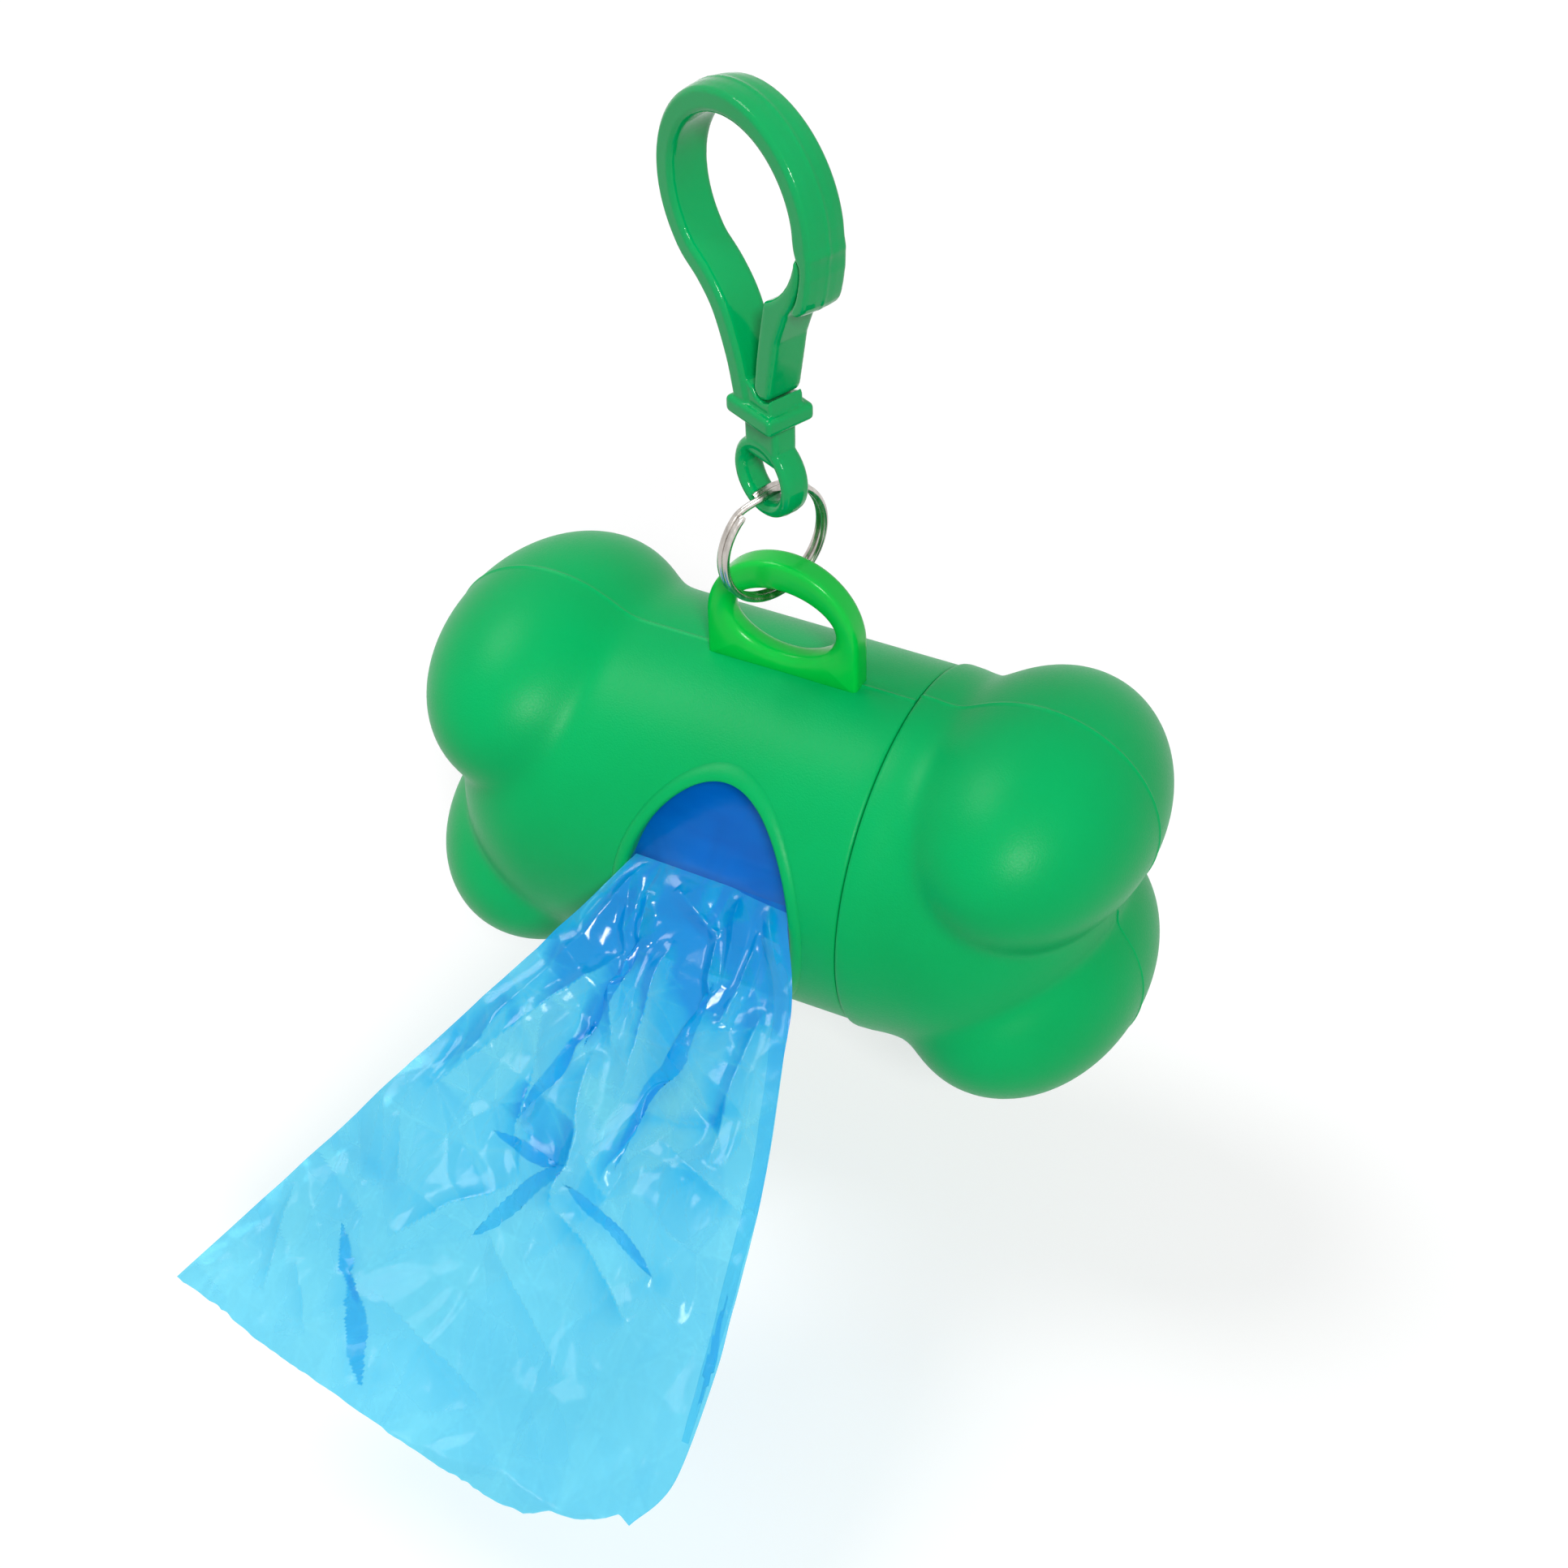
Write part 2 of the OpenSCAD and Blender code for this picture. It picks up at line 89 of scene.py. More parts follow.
class Nodes:
    """A short way to build a material's node tree."""

    def __init__(self, name):
        self.material = bpy.data.materials.new(name)
        self.material.use_nodes = True
        self.tree = self.material.node_tree
        self.tree.nodes.clear()
        self.out = self.add("ShaderNodeOutputMaterial")

    def add(self, kind, inputs=None, **settings):
        """A new node: inputs are constants or linked sockets by name or place, settings are its own properties."""
        node = self.tree.nodes.new(kind)
        for key, value in settings.items():
            setattr(node, key, value)
        for key, value in (inputs or {}).items():
            if isinstance(value, bpy.types.NodeSocket):
                self.tree.links.new(value, node.inputs[key])
            else:
                node.inputs[key].default_value = value
        return node

    def place(self, scale):
        """The object's own coordinates, in metres, stretched by scale."""
        coords = self.add("ShaderNodeTexCoord")
        return self.add("ShaderNodeMapping", {"Vector": coords.outputs["Object"], "Scale": scale}).outputs[0]

    def noise(self, scale, detail=2.0, stretch=(1, 1, 1)):
        """Noise of a scale per metre; a stretch below 1 draws it out along that axis."""
        inputs = {"Vector": self.place(stretch), "Scale": scale, "Detail": detail}
        return self.add("ShaderNodeTexNoise", inputs).outputs["Fac"]

    def ramp(self, fac, stops):
        """Colours along fac: stops are (place, colour), the first two at least."""
        node = self.add("ShaderNodeValToRGB", {"Fac": fac})
        for i, (at, colour) in enumerate(stops):
            stop = node.color_ramp.elements[i] if i < 2 else node.color_ramp.elements.new(at)
            stop.position, stop.color = at, (*colour, 1)
        return node.outputs["Color"]

    def span(self, fac, low, high, from_low=0.3, from_high=0.7):
        """fac stretched to run from low to high; noise lies mostly between 0.3 and 0.7."""
        return self.add("ShaderNodeMapRange", {"Value": fac, "From Min": from_low, "From Max": from_high,
                                               "To Min": low, "To Max": high}).outputs[0]

    def bump(self, height, strength, distance, normal=None):
        """A bump of a depth of distance mm, on top of another one where normal is given."""
        inputs = {"Height": height, "Strength": strength, "Distance": distance * MM}
        if normal is not None:
            inputs["Normal"] = normal
        return self.add("ShaderNodeBump", inputs).outputs[0]

    def finish(self, shader):
        """Makes shader the material's surface and returns the material."""
        self.tree.links.new(shader, self.out.inputs["Surface"])
        return self.material


PLASTIC_IOR = 1.49
FILM_IOR = 1.5


def moulded(name, dark, light, rough, grain, grain_scale, glow, glow_radius, shine):
    """Moulded plastic: slow drift of colour, a fine grain and a little light let in under the skin."""
    n = Nodes(name)
    fine = n.noise(grain_scale)
    normal = n.bump(n.noise(240.0), 0.06, 0.2)
    normal = n.bump(fine, grain, 0.08, normal)
    shader = n.add("ShaderNodeBsdfPrincipled", {
        "Base Color": n.ramp(n.noise(60.0, 3.0), [(0.3, dark), (0.7, light)]),
        "Roughness": n.span(fine, rough - 0.05, rough + 0.05), "Normal": normal,
        "IOR": PLASTIC_IOR, "Specular IOR Level": shine, "Subsurface Weight": glow,
        "Subsurface Radius": (0.3, 1.0, 0.5), "Subsurface Scale": glow_radius * MM})
    return n.finish(shader.outputs[0])


def steel():
    """Bright drawn wire with faint lines."""
    n = Nodes("steel_wire")
    lines = n.noise(1500.0, stretch=(1, 1, 0.2))
    shader = n.add("ShaderNodeBsdfPrincipled", {
        "Base Color": n.ramp(lines, [(0.3, (0.40, 0.37, 0.34)), (0.7, (0.66, 0.62, 0.58))]), "Metallic": 1.0,
        "Roughness": n.span(lines, 0.14, 0.3), "Normal": n.bump(lines, 0.15, 0.03)})
    return n.finish(shader.outputs[0])


def cardboard():
    """Grey-brown board with fibres along the roll's axis."""
    n = Nodes("cardboard")
    fibres = n.noise(900.0, 4.0, (0.25, 1, 1))
    shader = n.add("ShaderNodeBsdfPrincipled", {
        "Base Color": n.ramp(fibres, [(0.3, (0.33, 0.22, 0.12)), (0.7, (0.52, 0.38, 0.23))]),
        "Roughness": 0.9, "Normal": n.bump(fibres, 0.5, 0.1)})
    return n.finish(shader.outputs[0])


def wound_film():
    """The roll's skin: many layers of film on each other, with streaks along it."""
    n = Nodes("wound_film")
    streaks = n.noise(160.0, 3.0, (0.3, 1, 1))
    shader = n.add("ShaderNodeBsdfPrincipled", {
        "Base Color": n.ramp(streaks, [(0.35, (0.0, 0.16, 0.56)), (0.65, (0.0, 0.34, 0.82))]),
        "Roughness": n.span(streaks, 0.12, 0.26), "Normal": n.bump(streaks, 0.7, 1.0), "IOR": FILM_IOR})
    return n.finish(shader.outputs[0])


# On the pulled bag this also holds painted shade and sheen of its facets, creases and folds
AMOUNT_AND_SHADE = "film_amount_and_shade"  # how much film lies at each point of a film mesh, from 0 to 1


def film(name, haze, tint, thin, dense_and_shaded, deep, glow):
    """Thin film that tints what is behind it, with a glossy skin that is paler and clearer where it is thin.

    haze is the skin's least and greatest share of the look, tint the colour of what is seen through it, thin, dense and
    deep are the skin's colours by the stored film amount, which on the pulled bag also holds painted shade and sheen,
    and glow is the colour of light from behind.
    """
    n = Nodes(name)
    amount_and_painted_shade = n.add("ShaderNodeAttribute", attribute_name=AMOUNT_AND_SHADE).outputs["Fac"]
    broad = n.noise(90.0, 3.0)
    normal = n.bump(broad, 0.15, 0.8)
    normal = n.bump(n.noise(420.0, 4.0), 0.25, 0.2, normal)
    skin = n.add("ShaderNodeBsdfPrincipled", {
        "Base Color": n.ramp(amount_and_painted_shade, [(0.0, thin), (0.6, dense_and_shaded), (1.0, deep)]),
        "Roughness": 0.16, "IOR": FILM_IOR, "Normal": normal})
    back = n.add("ShaderNodeBsdfTranslucent", {"Color": (*glow, 1), "Normal": normal})
    lit = n.add("ShaderNodeMixShader", {"Fac": 0.35, 1: skin.outputs[0], 2: back.outputs[0]})
    clear = n.add("ShaderNodeBsdfTransparent", {
        "Color": n.ramp(broad, [(0.3, tuple(c * 0.96 for c in tint)), (0.7, tint)])})
    share = n.span(amount_and_painted_shade, *haze, from_low=0.0, from_high=1.0)
    whole = n.add("ShaderNodeMixShader", {"Fac": share, 1: clear.outputs[0], 2: lit.outputs[0]})
    return n.finish(whole.outputs[0])


def shows_background(tree):
    """A socket that is 1 for the rays that show the background: camera rays, gloss and clear film."""
    path = tree.nodes.new("ShaderNodeLightPath")
    seen = path.outputs["Is Camera Ray"]
    for kind in ("Is Glossy Ray", "Is Transmission Ray"):
        either = tree.nodes.new("ShaderNodeMath")
        either.operation = "MAXIMUM"
        tree.links.new(seen, either.inputs[0])
        tree.links.new(path.outputs[kind], either.inputs[1])
        seen = either.outputs[0]
    return seen


FLOOR_GREY = 0.5
FLOOR_LIFT = 0.53  # what the lit floor lacks to white


def backdrop():
    """A pale floor that keeps its shadows, lifted to white for the rays that show the background."""
    n = Nodes("pale_floor")
    lift = n.add("ShaderNodeMath", {0: shows_background(n.tree), 1: FLOOR_LIFT}, operation="MULTIPLY")
    plain = n.add("ShaderNodeBsdfDiffuse", {"Color": (FLOOR_GREY, FLOOR_GREY, FLOOR_GREY, 1)})
    white = n.add("ShaderNodeEmission", {"Color": (1, 1, 1, 1), "Strength": lift.outputs[0]})
    both = n.add("ShaderNodeAddShader", {0: plain.outputs[0], 1: white.outputs[0]})
    return n.finish(both.outputs[0])


SHELL = moulded("green_shell", dark=(0.0, 0.385, 0.10), light=(0.0, 0.42, 0.113), rough=0.38, grain=0.3,
                grain_scale=5200.0, glow=0.15, glow_radius=1.5, shine=0.12)
LOOP = moulded("green_loop", dark=(0.0, 0.53, 0.052), light=(0.0, 0.575, 0.066), rough=0.22, grain=0.05,
               grain_scale=900.0, glow=0.3, glow_radius=2.0, shine=0.22)
HOOK = moulded("green_hook", dark=(0.0, 0.36, 0.095), light=(0.0, 0.40, 0.11), rough=0.11, grain=0.04,
               grain_scale=900.0, glow=0.2, glow_radius=1.5, shine=0.2)
STEEL = steel()
CARD = cardboard()
ROLL = wound_film()
FILM = film("blue_film", haze=(0.2, 0.96), tint=(0.53, 0.93, 1.0), thin=(0.17, 0.68, 0.95), dense_and_shaded=(0.0, 0.50, 0.88),
            deep=(0.0, 0.29, 0.72), glow=(0.02, 0.60, 0.94))
ROLL_FILM = film("deep_blue_film", haze=(0.25, 0.5), tint=(0.45, 0.8, 1.0), thin=(0.0, 0.22, 0.66),
                 dense_and_shaded=(0.0, 0.17, 0.56), deep=(0.0, 0.14, 0.50), glow=(0.0, 0.20, 0.6))

# ---- mesh helpers


def add_object(name, data):
    """A new object in the scene."""
    obj = bpy.data.objects.new(name, data)
    bpy.context.scene.collection.objects.link(obj)
    return obj


def piece(name, shape, body, material, sharp=40.0):
    """A mesh from (points, faces) in the bone's own frame, riding on a body. Edges over sharp degrees stay crisp."""
    points, faces = shape
    mesh = bpy.data.meshes.new(name)
    mesh.from_pydata([(Vector(p) * MM + ORIGIN)[:] for p in points], [], faces)
    mesh.validate()
    obj = add_object(name, mesh)
    finish_mesh(obj, sharp)
    mesh.materials.append(material)
    if body:
        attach(obj, body)
    return obj


def finish_mesh(obj, sharp=40.0):
    """Turns the faces outwards and shades them smooth, apart from the sharp edges."""
    bm = bmesh.new()
    bm.from_mesh(obj.data)
    bmesh.ops.recalc_face_normals(bm, faces=bm.faces)
    for face in bm.faces:
        face.smooth = True
    for edge in bm.edges:
        edge.smooth = len(edge.link_faces) == 2 and edge.calc_face_angle(0) < math.radians(sharp)
    bm.to_mesh(obj.data)
    bm.free()


def rings_mesh(rings, closed_along=False, cap_ends=False):
    """Points and quads of a stack of rings that all have the same number of points."""
    count, size = len(rings), len(rings[0])
    points = [tuple(p) for ring in rings for p in ring]
    faces = []
    for i in range(count if closed_along else count - 1):
        a, b = i * size, (i + 1) % count * size
        faces += [(a + j, a + (j + 1) % size, b + (j + 1) % size, b + j) for j in range(size)]
    if cap_ends:
        faces += [tuple(range(size))[::-1], tuple(range((count - 1) * size, count * size))]
    return points, faces


def join_parts(parts):
    """Several (points, faces) as one."""
    points, faces = [], []
    for p, f in parts:
        faces += [tuple(i + len(points) for i in face) for face in f]
        points += list(p)
    return points, faces


def apply_modifiers(obj):
    """Gives the piece the mesh that its modifiers make."""
    depsgraph = bpy.context.evaluated_depsgraph_get()
    mesh = bpy.data.meshes.new_from_object(obj.evaluated_get(depsgraph))
    obj.modifiers.clear()
    obj.data = mesh


def cut(obj, cutter):
    """Cuts cutter out of obj and deletes it."""
    modifier = obj.modifiers.new("cut", "BOOLEAN")
    modifier.operation, modifier.object, modifier.solver = "DIFFERENCE", cutter, "EXACT"
    apply_modifiers(obj)
    bpy.data.objects.remove(cutter)


FUSE_VOXEL = 0.12


def fuse(obj, rounds):
    """Joins a piece's overlapping parts into one moulded skin, its corners softened in a number of rounds."""
    remesh = obj.modifiers.new("fuse", "REMESH")
    remesh.mode, remesh.voxel_size, remesh.use_smooth_shade = "VOXEL", FUSE_VOXEL * MM, True
    soften = obj.modifiers.new("soften", "SMOOTH")
    soften.factor, soften.iterations = 0.5, rounds
    apply_modifiers(obj)
    for face in obj.data.polygons:
        face.use_smooth = True


# ---- the bone

KNOB_SPAN = 57.0  # between the middles of the knobs of both ends
CAP_L = 14.0  # from the seam to the middle of the cap's knobs
# One end of the bone, with the middle of its knobs at x 0 and its tip at +x
KNOB_R = np.array((13.2, 18.7, 12.4))
KNOB_RISE = 10.8
DOME_BACK = 6.0
DOME_L = 15.5
BLEND = 0.55  # softness of the valleys between knobs, dome and tube
HEART = np.array((-DOME_BACK / 3, 0.0, 0.0))  # the point from which the end's surface is measured
COLUMNS = 176
# The moulding line: height in mm, half width in degrees and the finer columns that draw it
RIDGE_H = 0.14
RIDGE_W = 0.8
RIDGE_COLUMNS = (-1.4, -0.9, -0.45, 0, 0.45, 0.9, 1.4)
RIDGE_CLEAR = 1.9


def ellipsoid_exit(d, middle, r):
    """Distance from HEART along each direction d to an ellipsoid's surface."""
    q, e = (HEART - middle) / r, d / r
    a, b, c = (e * e).sum(-1), (e * q).sum(-1), (q * q).sum() - 1
    return (np.sqrt(np.maximum(b * b - a * c, 0)) - b) / a


def bone_exit(d, r):
    """Distance from HEART to the surface of tube, dome and two knobs, softly blended."""
    side = np.maximum(np.hypot(d[..., 1], d[..., 2]), 1e-4)
    tube = r / side
    dome = ellipsoid_exit(d, np.array((-DOME_BACK, 0, 0)), np.array((DOME_L, r, r)))
    tube = np.where(HEART[0] + tube * d[..., 0] < -DOME_BACK, tube, dome)
    high = ellipsoid_exit(d, np.array((0, 0, KNOB_RISE)), KNOB_R)
    low = ellipsoid_exit(d, np.array((0, 0, -KNOB_RISE)), KNOB_R)
    return BLEND * np.log(np.exp(tube / BLEND) + np.exp(high / BLEND) + np.exp(low / BLEND))


def columns(ridge_turn):
    """Angles round the bone, closer together at the moulding line on its top and bottom, and that line's angles."""
    even = np.arange(COLUMNS) * 2 * math.pi / COLUMNS
    lines = np.radians([90 + ridge_turn, 270 + ridge_turn])
    near = np.radians(RIDGE_COLUMNS)
    clear = math.radians(RIDGE_CLEAR)
    keep = [a for a in even if min(abs(math.remainder(a - line, 2 * math.pi)) for line in lines) > clear]
    return np.sort(np.concatenate([keep] + [line + near for line in lines])), lines


def ridge(angles, lines):
    """Height of the moulding line's ridge at each angle."""
    off = np.min([np.abs(np.remainder(angles - line + math.pi, 2 * math.pi) - math.pi) for line in lines], axis=0)
    return RIDGE_H * np.clip(1 - np.degrees(off) / RIDGE_W, 0, 1)


END_RINGS = 70


def bone_half(mouth_x, profile, side, ridge_turn, lip=None):
    """A closed shell of one half of the bone, on side +1 or -1 of the seam.

    Its blended end begins at mouth_x, profile is the rings (x, radius) from there round the mouth's edge to the inside,
    and lip(x) is how much wider the outer skin is at x from mouth_x.
    """
    angles, lines = columns(ridge_turn)
    c, s = np.cos(angles), np.sin(angles)
    bumps = ridge(angles, lines)
    mouth_angle = math.atan2(TUBE_R, mouth_x - HEART[0])

    def skin(depth, count):
        """Rings from the mouth to the tip, depth mm under the surface."""
        out = []
        for i in range(1, count):
            a = mouth_angle * (1 - i / count)
            d = np.stack([np.full_like(c, math.cos(a)), math.sin(a) * c, math.sin(a) * s], axis=-1)
            reach = bone_exit(d, TUBE_R) - depth / (math.sin(a) if math.cos(a) < 0 else 1)
            if depth == 0:
                reach = reach + bumps
            ring = HEART + reach[:, None] * d
            if lip is not None and depth == 0:
                ring[:, 1:] *= (1 + lip(ring[:, 0] - mouth_x) / TUBE_R)[:, None]
            out.append(ring)
        return out

    mouth = []
    for x, radius in profile:
        reach = radius + (bumps if radius >= TUBE_R - 0.1 else 0)
        mouth.append(np.stack([np.full_like(c, x), reach * c, reach * s], axis=-1))
    stack = skin(0.0, END_RINGS)[::-1] + mouth + skin(WALL, END_RINGS // 2)
    knobs_x = CAP_L if side > 0 else CAP_L - KNOB_SPAN
    stack = [ring * (side, 1, 1) + (knobs_x, 0, 0) for ring in stack]
    points, faces = rings_mesh(stack)
    size = len(angles)
    for i in (0, len(stack) - 1):
        tip = len(points)
        points.append(tuple(stack[i].mean(axis=0)))
        faces += [(i * size + j, i * size + (j + 1) % size, tip) for j in range(size)]
    return points, faces


SLOT_X, SLOT_HALF_W, SLOT_HALF_H = -15.0, 9.8, 14.2
# The slot's rim: distance outwards from the oval and radius on the tube
RIM_SECTION = [(0, 18.3), (0, 19.7), (0.07, 20), (0.22, 20.22), (0.45, 20.34), (0.75, 20.37), (1.05, 20.3),
               (1.3, 20.16), (1.5, 19.96), (1.5, 19.4), (0.6, 18.3)]
# The neck that the cap pushes over, with its snap bead, from the seam's edge inwards: x and radius
NECK = [(-0.4, 20), (-0.15, 19.96), (-0.03, 19.84), (0, 19.5), (0, 18.5), (4.3, 18.5), (4.6, 18.72), (5.4, 18.72),
        (5.7, 18.5), (6.7, 18.5), (7, 18.2), (7, 17), (-3, 17), (-3.2, 18.4)]


def slot_ring(margin, radius, count=160):
    """The slot's oval, grown by a margin and laid on a cylinder of a given radius."""
    t = np.arange(count) * 2 * math.pi / count
    x = SLOT_X + (SLOT_HALF_W + margin) * np.cos(t)
    z = (SLOT_HALF_H + margin) * np.sin(t)
    return np.stack([x, -np.sqrt(radius * radius - z * z), z], axis=-1)


TUBE_START = -28.6  # where the closed end goes over into the tube
SLOT_CLEAR = 0.35  # by which the cut in the shell passes the oval; the rim covers the edge


def body_shell():
    """The long half: its closed end, the tube, the neck and the slot with its rim."""
    def own(x):
        """Bone x as the closed end's own x."""
        return -x + CAP_L - KNOB_SPAN

    tube = [(x, TUBE_R) for x in np.arange(-27.5, -1.0, 1.5)]
    inside = [(x, TUBE_R - WALL) for x in np.arange(-4.5, -27.0, -1.5)]
    profile = [(own(x), radius) for x, radius in tube + NECK + inside]
    obj = piece("body_shell_skin", bone_half(own(TUBE_START), profile, -1, 0.0), "bone", SHELL)
    hole = slot_ring(SLOT_CLEAR, TUBE_R + 4)
    plug = rings_mesh([hole + (0, -4, 0), hole + (0, 14, 0)], cap_ends=True)
    cut(obj, piece("cutter", plug, "bone", SHELL))
    finish_mesh(obj)
    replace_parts(obj, "body_shell")
    rim = rings_mesh([slot_ring(margin, radius) for margin, radius in RIM_SECTION], closed_along=True)
    piece("slot_rim", rim, "bone", SHELL, 50)


CAP_BORE_R = 18.7
CAP_LIP = 0.48  # by which the cap widens at the seam, fading over CAP_LIP_FADE
CAP_LIP_FADE = 2.2


def end_cap():
    """The short half, a little wider at its lip, with its moulding line 2 degrees out of line with the tube's."""
    seam = SEAM_GAP - CAP_L
    mouth = [(seam + 0.5, TUBE_R + 0.42), (seam + 0.22, TUBE_R + 0.38), (seam + 0.06, TUBE_R + 0.24),
             (seam, TUBE_R - 0.1), (seam, CAP_BORE_R + 0.2), (seam + 0.2, CAP_BORE_R)]
    inside = [(seam + x, CAP_BORE_R) for x in np.arange(1.5, 6.5, 1.5)]
    half = bone_half(seam + 1.2, mouth + inside, 1, -2.0,
                     lambda x: CAP_LIP * np.exp(-np.maximum(x, 0) / CAP_LIP_FADE))
    obj = piece("end_cap_skin", half, "cap", SHELL)
    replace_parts(obj, "end_cap")


# ---- loop, ring

# An arch of radius LOOP_TOP_R about LOOP_MID_Z on a straight foot, with an oval hole
LOOP_X, LOOP_TOP_R, LOOP_MID_Z, LOOP_FOOT_Z = -14.9, 8.7, 25.0, 19.5
HOLE_Z, HOLE_HALF_W, HOLE_HALF_H = 26.0, 6.0, 3.95
LOOP_STEPS = 128
# Half of the loop's section: 0 at the hole's side or 1 at the outer side, distance outwards from it, and y
LOOP_SECTION = [(0, 0, 0.35), (0, 0.12, 0.85), (0, 0.42, 1.22), (0, 0.95, 1.45), (1, -0.55, 1.5), (1, -0.2, 1.38),
                (1, -0.03, 1.12), (1, 0, 0.8)]


def loop_outline(a):
    """Point on the loop's outer outline, seen from the hole's middle at angle a."""
    d = np.array((math.cos(a), math.sin(a)))
    reach = []  # distances to the straight sides, the foot and the arch, as far as d meets them
    if abs(d[0]) > 1e-6:
        reach.append(LOOP_TOP_R / abs(d[0]))
    if d[1] < -1e-6:
        reach.append((HOLE_Z - LOOP_FOOT_Z) / -d[1])
    q = np.array((0.0, HOLE_Z - LOOP_MID_Z))
    b = q @ d
    arc = -b + math.sqrt(b * b - q @ q + LOOP_TOP_R ** 2)
    if HOLE_Z + arc * d[1] > LOOP_MID_Z:
        reach.append(arc)
    return d * min(reach) + (0, HOLE_Z)


def hanging_loop():
    """The glossy loop, its section swept round the hole with a column on each corner of the foot."""
    corner = math.atan2(HOLE_Z - LOOP_FOOT_Z, LOOP_TOP_R)
    even = np.arange(LOOP_STEPS) * 2 * math.pi / LOOP_STEPS
    angles = np.sort(np.append(even, [math.pi + corner, 2 * math.pi - corner]))
    section = LOOP_SECTION + [(side, off, -y) for side, off, y in LOOP_SECTION[::-1]]
    rings = []
    for a in angles:
        reach = 1 / math.hypot(math.cos(a) / HOLE_HALF_W, math.sin(a) / HOLE_HALF_H)
        inner = np.array((reach * math.cos(a), reach * math.sin(a) + HOLE_Z))
        outer = loop_outline(a)
        out = (outer - inner) / np.linalg.norm(outer - inner)
        ring = []
        for at_outer, off, y in section:
            x, z = (outer if at_outer else inner) + out * off
            ring.append((LOOP_X + x, y, z))
        rings.append(ring)
    obj = piece("loop_skin", rings_mesh(rings, closed_along=True), "bone", LOOP, 55)
    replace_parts(obj, "hanging_loop")


HOOK_TURN = math.radians(25)  # of hook and ring about the upright
ALONG = Vector((math.cos(HOOK_TURN), -math.sin(HOOK_TURN), 0))  # across the hook, in its own plane
FACING = Vector((-math.sin(HOOK_TURN), -math.cos(HOOK_TURN), 0))  # out of the hook's front
UP = Vector((0, 0, 1))
RING_R = 6.4
WIRE_R = 0.4
# In degrees round the ring: where the wire starts, what it lacks to two turns, and half of the jog between them
RING_START, RING_SHORT, RING_JOG = 128, 20, 16
RING_TIP = 0.75  # thickness of the wire's tips
RING_STEPS, WIRE_SIDES = 260, 20


def split_ring():
    """Two turns of wire side by side that end in slightly thinner tips."""
    low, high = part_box("split_ring")
    middle = ((low + high) / 2 - ORIGIN) / MM
    turns, jog = 2 * math.tau - math.radians(RING_SHORT), math.radians(RING_JOG)
    rings = []
    for i in range(RING_STEPS + 1):
        t = turns * i / RING_STEPS
        a = math.radians(RING_START) + t
        step = min(max((t - turns / 2 + jog) / (2 * jog), 0), 1)
        side = WIRE_R * 0.97 * (2 * step * step * (3 - 2 * step) - 1)
        out = UP * math.sin(a) - FACING * math.cos(a)
        centre = middle + out * RING_R - ALONG * side
        radius = WIRE_R * (RING_TIP if i in (0, RING_STEPS) else 1.0)
        rings.append([centre + (out * math.cos(b) + ALONG * math.sin(b)) * radius
                      for b in np.arange(WIRE_SIDES) * math.tau / WIRE_SIDES])
    obj = piece("split_ring_wire", rings_mesh(rings, cap_ends=True), "ring", STEEL, 50)
    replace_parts(obj, "split_ring")


# ---- hook and gate

# In the hook's plane, as (along, up) from the middle of its eye: the middle and radii of its round bend
BEND = np.array((-2.4, 29.3))
BEND_IN, BEND_OUT = 9.1, 11.85
COLLAR_Z = 8.8
ARM_DEPTH = 4.8
# The middle of the hook's eye in the bone's frame: the middle of the bend is the row's own origin
EYE = -ORIGIN / MM - ALONG * BEND[0] - UP * BEND[1]


def in_hook(p, depth=0.0):
    """A point of the hook's own plane, at a depth towards its front."""
    return EYE + ALONG * p[0] + UP * p[1] + FACING * depth


def polar(r, degrees):
    """A step in the hook's plane."""
    return np.array((r * math.cos(math.radians(degrees)), r * math.sin(math.radians(degrees))))


# The arm's section in halves of its thickness and depth, flat on the inner side, with a moulding line on the outer one
ARM_SECTION = [(-1, 0.72), (-0.92, 0.9), (-0.6, 1), (0.55, 1), (0.85, 0.86), (1, 0.45), (1.03, 0.09), (1.13, 0),
               (1.03, -0.09), (1, -0.45), (0.85, -0.86), (0.55, -1), (-0.6, -1), (-0.92, -0.9), (-1, -0.72)]


def arm_sweep(line, thick, depth):
    """Sweeps ARM_SECTION along a line in the hook's plane."""
    rings = []
    for i, p in enumerate(line):
        d = line[min(i + 1, len(line) - 1)] - line[max(i - 1, 0)]
        d = d / np.linalg.norm(d)
        side = np.array((-d[1], d[0]))
        t = thick[i] / 2
        rings.append([in_hook(p + side * a * t, b * depth[i] / 2) for a, b in ARM_SECTION])
    return rings_mesh(rings, cap_ends=True)


EDGE_STEPS = 3


def rounded(outline, depth, edge):
    """An outline in the hook's plane as a plate with edges rounded to a radius. The outline runs anticlockwise."""
    outline = np.asarray(outline, float)
    ahead, behind = np.roll(outline, -1, axis=0) - outline, outline - np.roll(outline, 1, axis=0)
    ahead /= np.linalg.norm(ahead, axis=1)[:, None]
    behind /= np.linalg.norm(behind, axis=1)[:, None]
    turn = np.stack([(ahead + behind)[:, 1], -(ahead + behind)[:, 0]], axis=-1)
    length = np.linalg.norm(turn, axis=1)
    out = turn / np.maximum(length, 1e-6)[:, None] / np.maximum(length / 2, 0.5)[:, None]
    levels = [(edge * (1 - math.sin(a)), depth / 2 - edge * (1 - math.cos(a)))
              for a in np.linspace(0, math.pi / 2, EDGE_STEPS + 1)]
    levels += [(inset, -y) for inset, y in levels[::-1]]
    rings = [[in_hook(p, y) for p in outline - out * inset] for inset, y in levels]
    return rings_mesh(rings, cap_ends=True)


